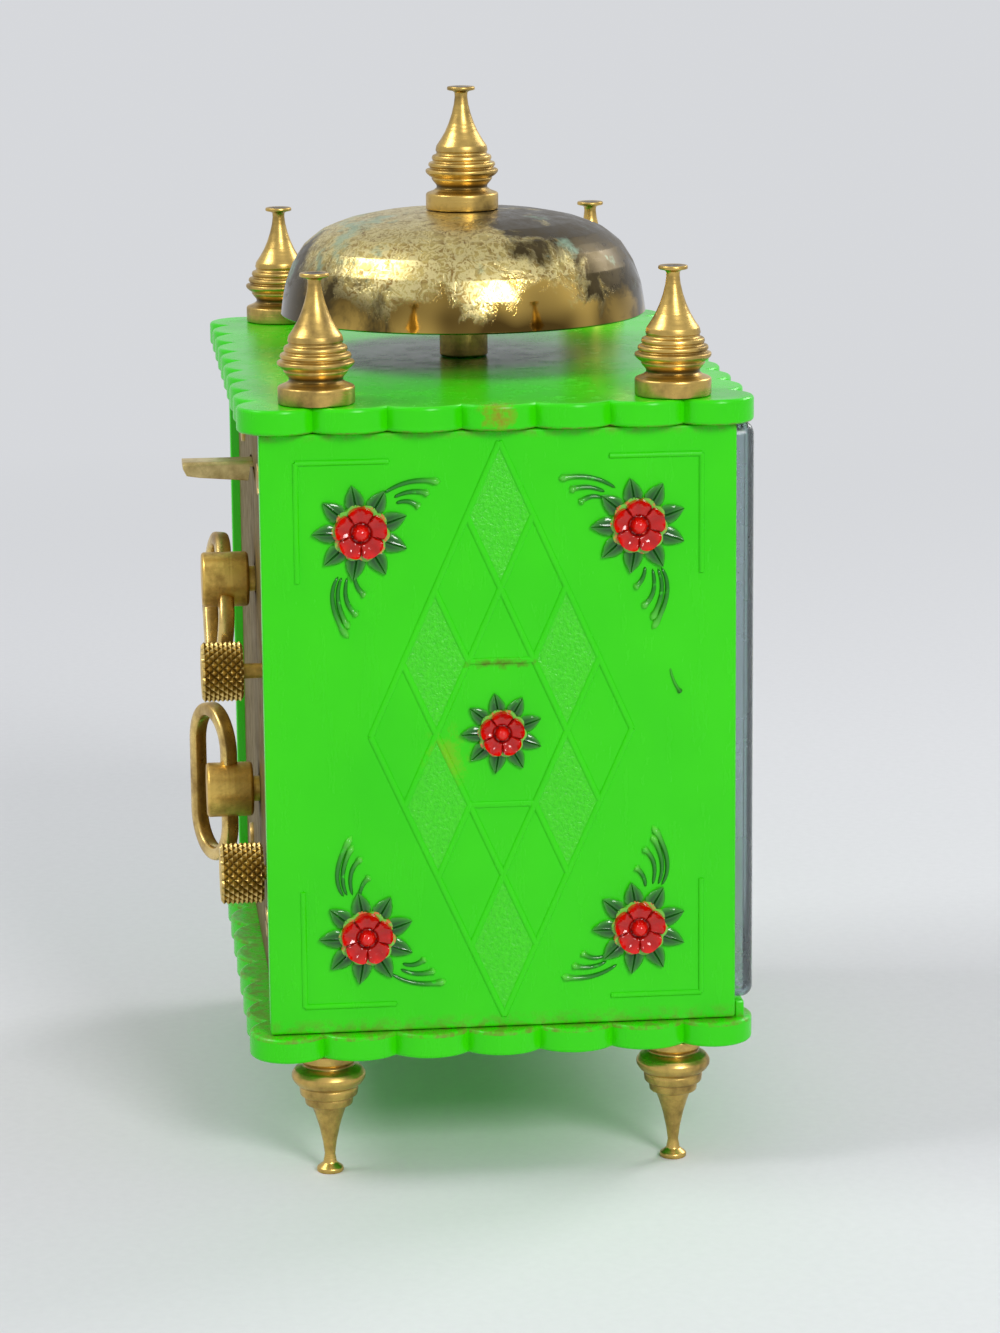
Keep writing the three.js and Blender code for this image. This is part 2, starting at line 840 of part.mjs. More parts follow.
function stopSlot() {
  const spread = stop.swing * degrees + (stop.halfWidth + clearance) / stopRadius;
  const outer = stopRadius + stop.thickness / 2 + clearance;
  const inner = stopRadius - stop.thickness / 2 - clearance;
  const middle = Math.PI / 2;
  const shape = outline([
    ...arcPoints(0, 0, outer, middle - spread, middle + spread, cornerSteps),
    ...arcPoints(0, 0, inner, middle + spread, middle - spread, cornerSteps),
  ]);
  return at(sheet(shape, backPlate.thickness + 2 * overrun), -overrun).translate([stopPivot.x, 0, stopPivot.z]);
}

piece(
  "back_plate",
  cutBy(
    caseSheet(backPlate.thickness),
    ...bores(backPlate.thickness, [
      [timeArbor, shaft.winding + clearance],
      [alarmArbor, shaft.winding + clearance],
      [handSetArbor, shaft.setting + clearance],
      [alarmSetArbor, shaft.setting + clearance],
    ]),
    stopSlot(),
  ),
  materials.brass(),
  0,
  backPlate.front,
  0,
);

// Layers of the movement along Y. Each wheel has one, and a pinion runs a little past its wheel.
const layer = {
  alarmWheel: -21.2,
  hourWheel: -19.7,
  minuteWheel: -18.0,
  centreWheel: -13.6,
  balance: -13.5,
  thirdWheel: -12.2,
  hairspring: -11.7,
  escapeWheel: -10.6,
  cock: -9.0,
  timeBarrel: -7.4,
  alarmBarrel: -4.6,
  barrelEnd: 11.2,
  strikeWheel: 12.3,
  ratchet: 17.4,
};
const wheelThickness = 0.7;
const pinionPast = 0.2;
const onLayer = (count, module, phase, from) => wheel(count, module, phase, from, from + wheelThickness);
const pinionOn = (count, module, phase, from) =>
  wheel(count, module, phase, from - pinionPast, from + wheelThickness + pinionPast);
const arborEnds = { front: frontPlate.front + running, rear: rearFace - running };
const arbor = (radius) => barAlongY(radius, arborEnds.front, arborEnds.rear);

const moduleGreat = moduleOf(distance(timeArbor, centre), teeth.timeBarrel, teeth.centrePinion);
const moduleCentre = moduleOf(trainReach.centreToThird, teeth.centreWheel, teeth.thirdPinion);
const moduleThird = moduleOf(trainReach.thirdToEscape, teeth.thirdWheel, teeth.escapePinion);
const moduleAlarm = moduleOf(strikeReach, teeth.alarmBarrel, teeth.strikePinion);
const moduleMinute = moduleOf(motionReach, teeth.cannonPinion, teeth.minuteWheel);
const moduleHour = moduleOf(motionReach, teeth.minutePinion, teeth.hourWheel);
const moduleAlarmSet = moduleOf(distance(centre, alarmSetArbor), teeth.alarmWheel, teeth.alarmSetPinion);

// Spring barrels: a toothed wheel with a drum behind it, open at the back, and the mainspring in it.
const drum = { wall: 0.9, spiralTurns: 4, spiralSteps: 10, strip: 0.35 };
const drumRadius = { time: 10.0, alarm: 6.8 };
const sleeve = shaft.winding + running;

function barrelSolid(count, module, radius, from) {
  const body = turnedAlongY(
    [
      [sleeve, from],
      [radius, from],
      [radius, layer.barrelEnd],
      [radius - drum.wall, layer.barrelEnd],
      [radius - drum.wall, from + wheelThickness + drum.wall],
      [sleeve, from + wheelThickness + drum.wall],
      [sleeve, from],
    ],
    2 * facets.rod,
  );
  const rim = cutBy(onLayer(count, module, 0, from), barAlongY(radius - drum.wall, from - overrun, from + overrun));
  return body.add(rim);
}

// A flat spiral strip, as an outline that runs out along one side and back along the other.
function spiralOutline(inner, outer, turns, steps, strip) {
  const side = (lift) =>
    Array.from({ length: turns * steps + 1 }, (_, i) => {
      const radius = inner + ((outer - inner) * i) / (turns * steps) + lift;
      const angle = (2 * Math.PI * i) / steps;
      return [radius * Math.cos(angle), radius * Math.sin(angle)];
    });
  return outline([...side(strip / 2), ...side(-strip / 2).reverse()]);
}

function mainspring(radius, from) {
  const start = from + wheelThickness + drum.wall + clearance;
  const inner = sleeve + clearance + drum.strip / 2;
  const outer = radius - drum.wall - clearance / 2 - drum.strip / 2;
  const shape = spiralOutline(inner, outer, drum.spiralTurns, drum.spiralSteps, drum.strip);
  return at(sheet(shape, layer.barrelEnd - clearance - start), start);
}

const timeTeeth = barrelSolid(teeth.timeBarrel, moduleGreat, drumRadius.time, layer.timeBarrel);
piece("time_barrel", timeTeeth, materials.plainBrass(), timeArbor.x, 0, timeArbor.z);
piece(
  "time_mainspring",
  mainspring(drumRadius.time, layer.timeBarrel),
  materials.steel(),
  timeArbor.x,
  0,
  timeArbor.z,
);
const alarmTeeth = barrelSolid(teeth.alarmBarrel, moduleAlarm, drumRadius.alarm, layer.alarmBarrel);
piece("alarm_barrel", alarmTeeth, materials.plainBrass(), alarmArbor.x, 0, alarmArbor.z);
piece(
  "alarm_mainspring",
  mainspring(drumRadius.alarm, layer.alarmBarrel),
  materials.steel(),
  alarmArbor.x,
  0,
  alarmArbor.z,
);

// Winding keys: an arbor with a ratchet wheel and a round hub, and a long ring that folds about the limb
// passing through the hub's cross hole.
const ring = { length: 17.9, across: 10.1, limb: 1.5, thickness: 1.7, chamfer: 0.35, foldFlat: 85 };
const keys = {
  time: { place: timeArbor, turn: 0, fold: 69 },
  alarm: { place: alarmArbor, turn: 51, fold: 81 },
};
const ratchet = { tip: 3.6, root: 2.6 };
const crossHole = Math.hypot(ring.limb / 2 - ring.chamfer, ring.thickness / 2) + clearance;

function keyHub(turn) {
  const body = turnedAlongY(
    [
      [0, arborEnds.front],
      [pivot.radius, arborEnds.front],
      [pivot.radius, frontInside + running],
      [shaft.winding, frontInside + running],
      [shaft.winding, key.from],
      [key.hub - key.chamfer, key.from],
      [key.hub, key.from + key.chamfer],
      [key.hub, key.to - key.chamfer],
      [key.hub - key.chamfer, key.to],
      [0, key.to],
    ],
    facets.turned,
  );
  const click = at(sheet(sawOutline(teeth.ratchet, ratchet.tip, ratchet.root, 0), wheelThickness), layer.ratchet);
  const across = barUp(crossHole, -key.hub - overrun, key.hub + overrun)
    .translate([0, key.cross, 0])
    .rotate([0, turn, 0]);
  return body.add(click).subtract(across);
}

function stadium(length, across) {
  const radius = across / 2;
  const straight = length / 2 - radius;
  return [
    ...arcPoints(0, straight, radius, 0, Math.PI, cornerSteps),
    ...arcPoints(0, -straight, radius, Math.PI, 2 * Math.PI, cornerSteps),
  ];
}

// Drawn flat with the pivot limb on the Y axis of the outline, then folded, then turned with its hub.
function keyRing({ fold, turn }) {
  const shape = outline(stadium(ring.length, ring.across));
  shape.holes.push(outline(stadium(ring.length - 2 * ring.limb, ring.across - 2 * ring.limb)));
  const geometry = new THREE.ExtrudeGeometry(shape, {
    depth: ring.thickness - 2 * ring.chamfer,
    bevelEnabled: true,
    bevelThickness: ring.chamfer,
    bevelSize: ring.chamfer,
    bevelOffset: -ring.chamfer,
    bevelSegments: 1,
  });
  geometry.translate(ring.across / 2 - ring.limb / 2, 0, ring.chamfer - ring.thickness / 2);
  return solid(geometry)
    .rotate([90, 0, 90 - fold])
    .rotate([0, turn, 0]);
}

for (const [name, setting] of Object.entries(keys)) {
  const { place, turn } = setting;
  piece(name + "_key_hub", keyHub(turn), materials.brass(), place.x, 0, place.z);
  piece(name + "_key_ring", keyRing(setting), materials.brass(), place.x, key.cross, place.z);
}

// A straight strip between two places, for arms and levers.
function bar(x0, z0, x1, z1, half) {
  const angle = Math.atan2(z1 - z0, x1 - x0);
  const [nx, nz] = [-Math.sin(angle) * half, Math.cos(angle) * half];
  return outline([
    [x0 + nx, z0 + nz],
    [x0 - nx, z0 - nz],
    [x1 - nx, z1 - nz],
    [x1 + nx, z1 + nz],
  ]);
}

// A pivot pin with an eye and a strip, on a layer of its own, reaching into the rear plate.
const eyed = (radius, from, to) => barAlongY(radius, from, to, facets.turned);

function clickSolid(arborPlace, pin) {
  const tip = offset(arborPlace, ratchet.tip + clearance + click.radius / 2, (click.angle - click.behind) * degrees);
  const strip = sheet(bar(0, 0, tip.x - pin.x, tip.z - pin.z, click.radius / 2), wheelThickness);
  return joined(
    barAlongY(pivot.radius, rearPlate.front + running, layer.ratchet + wheelThickness),
    at(strip, layer.ratchet),
    eyed(click.radius, layer.ratchet, layer.ratchet + wheelThickness),
  );
}
const [timePin, alarmPin] = clickPins;
piece("time_click", clickSolid(timeArbor, timePin), materials.steel(), timePin.x, 0, timePin.z);
piece("alarm_click", clickSolid(alarmArbor, alarmPin), materials.steel(), alarmPin.x, 0, alarmPin.z);

// The going train: centre wheel, third wheel and escape wheel, each on an arbor between the plates.
const hubRadius = 1.1;
const cannon = { bore: shaft.centre + running, radius: 1.15, tip: -24.6 };
const centrePhase = meshed(0, teeth.timeBarrel, teeth.centrePinion, direction(timeArbor, centre));
piece(
  "centre_wheel",
  joined(
    barAlongY(shaft.centre, cannon.tip, arborEnds.rear),
    onLayer(teeth.centreWheel, moduleCentre, 0, layer.centreWheel),
    pinionOn(teeth.centrePinion, moduleGreat, centrePhase, layer.timeBarrel),
  ),
  materials.plainBrass(),
  centre.x,
  0,
  centre.z,
);

const thirdPhase = meshed(0, teeth.centreWheel, teeth.thirdPinion, direction(centre, third));
piece(
  "third_wheel",
  joined(
    arbor(pivot.radius),
    pinionOn(teeth.thirdPinion, moduleCentre, thirdPhase, layer.centreWheel),
    onLayer(teeth.thirdWheel, moduleThird, 0, layer.thirdWheel),
  ),
  materials.plainBrass(),
  third.x,
  0,
  third.z,
);

const escapeTeeth = { tip: 4.0, root: 3.1 };
const escapePhase = meshed(0, teeth.thirdWheel, teeth.escapePinion, direction(third, escape));
piece(
  "escape_wheel",
  joined(
    arbor(pivot.radius),
    pinionOn(teeth.escapePinion, moduleThird, escapePhase, layer.thirdWheel),
    at(
      sheet(sawOutline(teeth.escapeWheel, escapeTeeth.tip, escapeTeeth.root, 0), wheelThickness),
      layer.escapeWheel,
    ),
  ),
  materials.plainBrass(),
  escape.x,
  0,
  escape.z,
);

// The pallet lever rocks between the escape wheel and the balance. A weight on its tail poises it.
const palletLever = { half: 0.35, spread: 32, forkGap: 1.5, fork: 0.7, tail: 3.0, weight: 1.3 };
function palletSolid() {
  const toEscape = direction(lever, escape);
  const away = toEscape + Math.PI;
  const radius = escapeTeeth.tip + clearance + palletLever.half + running;
  const limbs = [-1, 1].map((side) => {
    const tip = offset(escape, radius, away + side * palletLever.spread * degrees);
    return bar(0, 0, tip.x - lever.x, tip.z - lever.z, palletLever.half);
  });
  const fork = offset({ x: 0, z: 0 }, trainReach.leverToBalance - palletLever.forkGap, direction(lever, balance));
  const horns = offset(fork, palletLever.fork, direction(balance, lever));
  return joined(
    arbor(pivot.radius),
    at(sheet(bar(0, 0, fork.x, fork.z, palletLever.half), wheelThickness), layer.escapeWheel),
    at(sheet(bar(horns.x, horns.z, fork.x, fork.z, palletLever.fork), wheelThickness), layer.escapeWheel),
    eyed(hubRadius, layer.escapeWheel, layer.escapeWheel + wheelThickness),
    at(sheet(bar(0, 0, palletLever.tail, 0, palletLever.half), wheelThickness), layer.escapeWheel),
    eyed(palletLever.weight, layer.escapeWheel, layer.escapeWheel + wheelThickness).translate([palletLever.tail, 0, 0]),
    ...limbs.map((shape) => at(sheet(shape, wheelThickness), layer.escapeWheel)),
  );
}
piece("pallet_lever", palletSolid(), materials.steel(), lever.x, 0, lever.z);

// Balance wheel on a short staff under its cock, with the hairspring round the staff.
const wheelRim = { radius: 6.0, width: 0.9, spoke: 0.5, roller: 0.9 };
const cockInset = 3.0; // its foot, from the lower edge of the rear plate
const cock = { foot: { x: -1.6, z: movement.low + cockInset }, footRadius: 1.3, thickness: 0.8, half: 1.5, eye: 1.9 };
function balanceSolid() {
  const rim = turnedAlongY(
    [
      [wheelRim.radius - wheelRim.width, 0],
      [wheelRim.radius, 0],
      [wheelRim.radius, wheelThickness],
      [wheelRim.radius - wheelRim.width, wheelThickness],
      [wheelRim.radius - wheelRim.width, 0],
    ],
    facets.fine,
  );
  const inside = wheelRim.radius - wheelRim.width / 2;
  const spoke = sheet(bar(-inside, 0, inside, 0, wheelRim.spoke), wheelThickness);
  return joined(
    at(rim.add(spoke), layer.balance),
    barAlongY(pivot.radius, arborEnds.front, layer.cock + cock.thickness - running),
    eyed(wheelRim.roller, layer.escapeWheel, layer.escapeWheel + wheelThickness),
  );
}
piece("balance_wheel", balanceSolid(), materials.brass(), balance.x, 0, balance.z);

const spring = { inner: 1.0, outer: 3.6, turns: 3, steps: 12, strip: 0.22, height: 0.5, stud: 0.4 };
piece(
  "hairspring",
  at(
    sheet(spiralOutline(spring.inner, spring.outer, spring.turns, spring.steps, spring.strip), spring.height),
    layer.hairspring,
  ),
  materials.steel(),
  balance.x,
  0,
  balance.z,
);

function cockSolid() {
  const foot = { x: cock.foot.x - balance.x, z: cock.foot.z - balance.z };
  const eye = eyed(cock.eye, layer.cock, layer.cock + cock.thickness);
  const leg = barAlongY(cock.footRadius, frontInside + seat, layer.cock + cock.thickness).translate([foot.x, 0, foot.z]);
  const arm = at(sheet(bar(foot.x, foot.z, 0, 0, cock.half), cock.thickness), layer.cock);
  const studX = spring.outer + spring.strip / 2 + spring.stud + seat;
  const stud = barAlongY(spring.stud, layer.hairspring, layer.cock + cock.thickness).translate([studX, 0, 0]);
  const studArm = at(sheet(bar(0, 0, studX, 0, spring.stud), cock.thickness), layer.cock);
  const hole = barAlongY(pivot.hole, layer.cock - overrun, layer.cock + cock.thickness + overrun);
  return joined(eye, leg, arm, studArm, stud).subtract(hole);
}
piece("balance_cock", cockSolid(), materials.plainBrass(), balance.x, 0, balance.z);

// The alarm train: a strike wheel rocks the hammer to and fro as it turns.
const strikeTeeth = { tip: 4.2, root: 3.2 };
const strikePhase = meshed(0, teeth.alarmBarrel, teeth.strikePinion, direction(alarmArbor, strike));
piece(
  "alarm_strike_wheel",
  joined(
    arbor(pivot.radius),
    pinionOn(teeth.strikePinion, moduleAlarm, strikePhase, layer.alarmBarrel),
    at(
      sheet(sawOutline(teeth.strikeWheel, strikeTeeth.tip, strikeTeeth.root, 0), wheelThickness),
      layer.strikeWheel,
    ),
  ),
  materials.plainBrass(),
  strike.x,
  0,
  strike.z,
);

function hammerSolid() {
  const radius = strikeTeeth.tip + clearance + palletLever.half + running;
  const away = direction(strike, hammer);
  const limbs = [-1, 1].map((side) => {
    const tip = offset(strike, radius, away + side * palletLever.spread * degrees);
    return at(sheet(bar(0, 0, tip.x - hammer.x, tip.z - hammer.z, palletLever.half), wheelThickness), layer.strikeWheel);
  });
  const head = solid(new THREE.SphereGeometry(hammer.headRadius, 12, 8)).translate([0, 0, hammer.headZ - hammer.z]);
  return joined(
    arbor(pivot.radius),
    eyed(hubRadius, layer.strikeWheel, layer.strikeWheel + wheelThickness),
    eyed(hubRadius, -hubRadius, hubRadius),
    barUp(hammer.armRadius, 0, hammer.headZ - hammer.z),
    head,
    ...limbs,
  );
}
piece("hammer", hammerSolid(), materials.steel(), hammer.x, 0, hammer.z);

// Motion work, in front of the movement: it turns the hour hand at a twelfth of the minute hand.
const tubes = {
  hour: { bore: cannon.radius + running, radius: 1.7, tip: -23.85 },
  alarm: { bore: 1.7 + running, radius: 2.35, tip: -23.2 },
};
const tube = (bore, radius, from, to) =>
  turnedAlongY(
    [
      [bore, from],
      [radius, from],
      [radius, to],
      [bore, to],
      [bore, from],
    ],
    facets.turned,
  );
const boreThrough = (radius, from, to) => barAlongY(radius, from - overrun, to + overrun, facets.turned);
const layerEnd = (from) => from + wheelThickness + pinionPast;

function pipedWheel(count, module, phase, from, bore, radius, tip) {
  const body = onLayer(count, module, phase, from).add(tube(bore, radius, tip, from + wheelThickness));
  return body.subtract(boreThrough(bore, from, from + wheelThickness));
}

piece(
  "cannon_pinion",
  pinionOn(teeth.cannonPinion, moduleMinute, 0, layer.minuteWheel)
    .add(tube(cannon.bore, cannon.radius, cannon.tip, layerEnd(layer.minuteWheel)))
    .subtract(boreThrough(cannon.bore, layer.minuteWheel, layerEnd(layer.minuteWheel))),
  materials.plainBrass(),
  centre.x,
  0,
  centre.z,
);

const minutePhase = meshed(0, teeth.cannonPinion, teeth.minuteWheel, direction(centre, minute));
piece(
  "minute_wheel",
  joined(
    barAlongY(pivot.radius, layer.hourWheel - pinionPast, frontInside - running),
    onLayer(teeth.minuteWheel, moduleMinute, minutePhase, layer.minuteWheel),
    pinionOn(teeth.minutePinion, moduleHour, 0, layer.hourWheel),
    barAlongY(hubRadius, layer.hourWheel, layer.minuteWheel),
  ),
  materials.plainBrass(),
  minute.x,
  0,
  minute.z,
);

const hourPhase = meshed(0, teeth.minutePinion, teeth.hourWheel, direction(minute, centre));
const hourTube = tubes.hour;
piece(
  "hour_wheel",
  pipedWheel(
    teeth.hourWheel,
    moduleHour,
    hourPhase,
    layer.hourWheel,
    hourTube.bore,
    hourTube.radius,
    hourTube.tip,
  ),
  materials.plainBrass(),
  centre.x,
  0,
  centre.z,
);

const alarmTube = tubes.alarm;
piece(
  "alarm_wheel",
  pipedWheel(
    teeth.alarmWheel,
    moduleAlarmSet,
    0,
    layer.alarmWheel,
    alarmTube.bore,
    alarmTube.radius,
    alarmTube.tip,
  ),
  materials.plainBrass(),
  centre.x,
  0,
  centre.z,
);

// Hands, each fixed at the tip of its pipe and turned to its hour.
const hand = { thickness: 0.25, hub: 0.9, tipShare: 0.3, shoulderShare: 0.6 };
const hands = {
  minute: { length: 22.0, half: 1.0, tail: 4.0, front: cannon.tip + clearance, hole: cannon.radius, angle: 60 },
  hour: { length: 14.5, half: 1.3, tail: 3.4, front: hourTube.tip, hole: hourTube.radius, angle: 305 },
  alarm: { length: 10.0, half: 0.6, tail: 3.6, front: alarmTube.tip, hole: alarmTube.radius, angle: 180 },
};

function handSolid({ length, half, tail, hole, angle }) {
  const blade = outline([
    [half * hand.tipShare, length],
    [-half * hand.tipShare, length],
    [-half, length * hand.shoulderShare],
    [-half * hand.tipShare, 0],
    [-half, -tail],
    [half, -tail],
    [half * hand.tipShare, 0],
    [half, length * hand.shoulderShare],
  ]);
  const hub = eyed(hole + hand.hub, 0, hand.thickness);
  return sheet(blade, hand.thickness)
    .add(hub)
    .subtract(boreThrough(hole + seat, 0, hand.thickness))
    .rotate([0, angle, 0]);
}
for (const [name, shape] of Object.entries(hands))
  piece(name + "_hand", at(handSolid(shape), shape.front), materials.black(), centre.x, 0, centre.z);

// Setting knobs, on shafts that run through to the motion work. The alarm's stands further out.
const knob = { chamfer: 0.4 };
const knobs = {
  hand_set: { place: handSetArbor, radius: 3.3, from: 23.6, to: 28.2 },
  alarm_set: { place: alarmSetArbor, radius: 3.2, from: 25.3, to: 29.7 },
};
const pinions = {
  hand_set: {
    count: teeth.handSetPinion,
    module: moduleMinute,
    phase: meshed(minutePhase, teeth.minuteWheel, teeth.handSetPinion, direction(minute, handSetArbor)),
    from: layer.minuteWheel,
  },
  alarm_set: {
    count: teeth.alarmSetPinion,
    module: moduleAlarmSet,
    phase: meshed(0, teeth.alarmWheel, teeth.alarmSetPinion, direction(centre, alarmSetArbor)),
    from: layer.alarmWheel,
  },
};

for (const [name, { place, radius, from, to }] of Object.entries(knobs)) {
  const pinion = pinions[name];
  const body = turnedAlongY(
    [
      [0, pinion.from - pinionPast],
      [shaft.setting, pinion.from - pinionPast],
      [shaft.setting, from],
      [radius - knob.chamfer, from],
      [radius, from + knob.chamfer],
      [radius, to - knob.chamfer],
      [radius - knob.chamfer, to],
      [0, to],
    ],
    facets.turned,
  );
  const toothed = pinionOn(pinion.count, pinion.module, pinion.phase, pinion.from);
  piece(name + "_knob", body.add(toothed), materials.brass(), place.x, 0, place.z);
}

// Stop lever: a flat arm bent round the alarm arbor, whose tab comes out through the slot in the back
// and has one side turned down for the finger.
function stopSolid() {
  const half = stop.arm / 2;
  const side = stop.dogleg;
  const rise = stop.top - stopPivot.z;
  const low = (alarmArbor.z - stopPivot.z) * stop.lowShare;
  const high = (alarmArbor.z - stopPivot.z) * stop.highShare;
  const arm = outline([
    [half, 0],
    [half, half],
    [-side + half, low],
    [-side + half, high],
    [stop.halfWidth, rise - stop.arm],
    [stop.halfWidth, rise],
    [-stop.halfWidth, rise],
    [-stop.halfWidth, rise - half],
    [-side - half, high],
    [-side - half, low],
    [-half, -half],
    [half, -half],
  ]);
  const flange = block(
    [-stop.halfWidth, stop.halfWidth],
    [stopArmFront, stop.reach],
    [rise - stop.thickness, rise],
  );
  const skirt = block(
    [-stop.halfWidth, -stop.halfWidth + stop.thickness],
    [stop.skirtFrom, stop.reach],
    [rise - stop.skirt, rise],
  );
  return joined(
    at(sheet(arm, stop.thickness), stopArmFront),
    eyed(hubRadius, stopArmFront, stopArmFront + stop.thickness + running),
    barAlongY(pivot.radius, rearPlate.front + running, stopArmFront + stop.thickness),
    flange,
    skirt,
  );
}
piece("stop_lever", stopSolid(), materials.plainBrass(), stopPivot.x, 0, stopPivot.z);

// The clock's origin is on the table, under the middle of its box.
clock.position.y = -(stop.reach - depth / 2) / 2;

export default clock;
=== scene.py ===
"""A small wind-up alarm clock: green polystyrene case with painted flower reliefs, turned brass
finials and feet, a brass bell on top, folding winding keys and knurled knobs at the back."""

import math

import bmesh
import bpy
import numpy as np
from mathutils import Matrix, Vector
from mathutils.geometry import tessellate_polygon


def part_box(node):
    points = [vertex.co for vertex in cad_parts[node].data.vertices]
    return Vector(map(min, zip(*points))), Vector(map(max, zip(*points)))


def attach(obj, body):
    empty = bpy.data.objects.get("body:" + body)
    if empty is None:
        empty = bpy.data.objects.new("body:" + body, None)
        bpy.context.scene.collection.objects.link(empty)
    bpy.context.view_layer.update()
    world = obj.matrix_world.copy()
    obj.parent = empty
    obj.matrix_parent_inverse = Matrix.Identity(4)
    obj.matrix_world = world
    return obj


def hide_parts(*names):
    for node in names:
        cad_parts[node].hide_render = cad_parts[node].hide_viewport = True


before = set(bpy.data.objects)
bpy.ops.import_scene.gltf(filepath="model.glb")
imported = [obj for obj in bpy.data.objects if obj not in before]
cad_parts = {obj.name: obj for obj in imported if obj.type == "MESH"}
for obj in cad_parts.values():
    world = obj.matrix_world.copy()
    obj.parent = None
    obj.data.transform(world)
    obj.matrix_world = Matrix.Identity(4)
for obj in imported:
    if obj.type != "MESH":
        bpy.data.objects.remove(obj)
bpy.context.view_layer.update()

low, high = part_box("top_plate")
axis_y = (low.y + high.y) / 2  # the clock's own middle, which the frame doesn't put at zero

# World directions of a shape's own u, v and w, where w is its axis or its outward face.
UP = np.array([(1, 0, 0), (0, 1, 0), (0, 0, 1)])


def linear(hex_colour):
    """sRGB hex to linear light: a channel is divided by 12.92 near black, else raised to 2.4."""
    c = np.array([int(hex_colour[i : i + 2], 16) for i in (1, 3, 5)]) / 255
    c = np.where(c <= 0.04045, c / 12.92, ((c + 0.055) / 1.055) ** 2.4)
    return (*c.tolist(), 1.0)


def finish(name, kind="Material"):
    """An empty material, or world, that shows the last shader added to it."""
    made = getattr(bpy.data, kind.lower() + "s").new(name)
    made.use_nodes = True
    made.node_tree.nodes.clear()
    made.node_tree.nodes.new("ShaderNodeOutput" + kind).name = "shown"
    return made


def add(owner, kind, *values, give=None, **named):
    """Adds one node and gives back its named output, or its first. The values go to its inputs in
    their order. A name with a capital is an input too, any other a setting, and text is a colour."""
    tree = owner.node_tree
    made = tree.nodes.new("ShaderNode" + kind)
    for name in filter(str.islower, named):
        setattr(made, name, named[name])
    pairs = list(zip([socket for socket in made.inputs if socket.enabled], values))
    pairs += [(made.inputs[n.replace("_", " ")], value) for n, value in named.items() if not n.islower()]
    for socket, value in pairs:
        if isinstance(value, bpy.types.NodeSocket):
            tree.links.new(value, socket)
        else:
            socket.default_value = linear(value) if isinstance(value, str) else value
    result = made.outputs[give] if give else next(socket for socket in made.outputs if socket.enabled)
    if result.type == "SHADER":
        tree.links.new(result, tree.nodes["shown"].inputs[0])
    return result


def joined(points, *more):
    """Each point with more numbers after its own, which are spread over all the points."""
    more = [np.atleast_1d(numbers) for numbers in more]
    more = [np.broadcast_to(numbers, (*points.shape[:-1], numbers.shape[-1])) for numbers in more]
    return np.concatenate([points, *more], -1)


def grid(points, closed=False):
    """Quads between loops of points: each loop is joined to the next, and if closed the last one to
    the first. A point's fourth number says how deep in a groove it is."""
    rows, columns = points.shape[-3:-1]
    if points.shape[-1] == 3:
        points = joined(points, 0)
    i, j = np.indices((rows - (not closed), columns))
    k, m = (i + 1) % rows, (j + 1) % columns
    quads = np.stack([i * columns + j, k * columns + j, k * columns + m, i * columns + m], -1)
    first = np.arange(0, points.size // 4, rows * columns)[:, None, None]
    return points.reshape(-1, 4), (quads.reshape(-1, 4) + first).reshape(-1, 4)


def moved(skin, turn=UP, place=(0, 0, 0)):
    """A skin turned so that its u, v and w lie along the rows of turn, then moved."""
    points, faces = skin
    return np.concatenate([points[:, :3] @ turn + place, points[:, 3:]], 1), faces


def plain_mesh(name, points, faces):
    """A mesh in metres, from points in millimetres about the clock's middle."""
    mesh = bpy.data.meshes.new(name)
    mesh.from_pydata(((points[:, :3] + (0, axis_y * 1000, 0)) / 1000).tolist(), [], faces)
    return mesh


def put_in(name, data):
    """An object of the scene that holds the data."""
    made = bpy.data.objects.new(name, data)
    bpy.context.scene.collection.objects.link(made)
    return made


def piece(name, skins, material, slot, stands_for=None, body="case", sharp=32, **at):
    """One closed mesh out of skins: doubles are merged, faces turned outwards, and edges past the
    sharp angle kept crisp."""
    skins = [moved(skin, **at) for skin in skins]
    starts = np.cumsum([0] + [len(points) for points, _ in skins])
    points = np.vstack([points for points, _ in skins])
    faces = [face for (_, quads), start in zip(skins, starts) for face in (quads + start).tolist()]
    mesh = plain_mesh(name, points, faces)
    mesh.attributes.new("groove", "FLOAT", "POINT").data.foreach_set("value", points[:, 3].astype(np.float32))
    shape = bmesh.new()
    shape.from_mesh(mesh)
    bmesh.ops.remove_doubles(shape, verts=shape.verts, dist=2e-7)
    bmesh.ops.recalc_face_normals(shape, faces=shape.faces)
    shape.to_mesh(mesh)
    shape.free()
    mesh.shade_smooth()
    mesh.set_sharp_from_angle(angle=math.radians(sharp))
    mesh.materials.append(material)
    made = put_in(name, mesh)
    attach(made, body)
    if stands_for:
        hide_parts(stands_for)
    return made


def drawn_in(outline, inset):
    """A closed outline moved inwards: each point goes along the sum of its two edge normals,
    lengthened so that both edges move by the inset."""
    ahead = np.roll(outline, -1, 0) - outline
    ahead = ahead / np.linalg.norm(ahead, axis=1)[:, None]
    normal = ahead @ np.array([(0, 1), (-1, 0)])
    both = normal + np.roll(normal, 1, 0)
    return outline + inset * 2 * both / (both**2).sum(1)[:, None]


def rounded_edge(low, high, radius, steps=4):
    """(inset, height) pairs up a wall, with a quarter of a circle at each end."""
    turn = np.linspace(0, math.pi / 2, steps)
    up = np.stack([radius * (1 - np.sin(turn)), low + radius * (1 - np.cos(turn))], 1)
    return np.vstack([up, up[::-1] * (1, -1) + (0, low + high)])


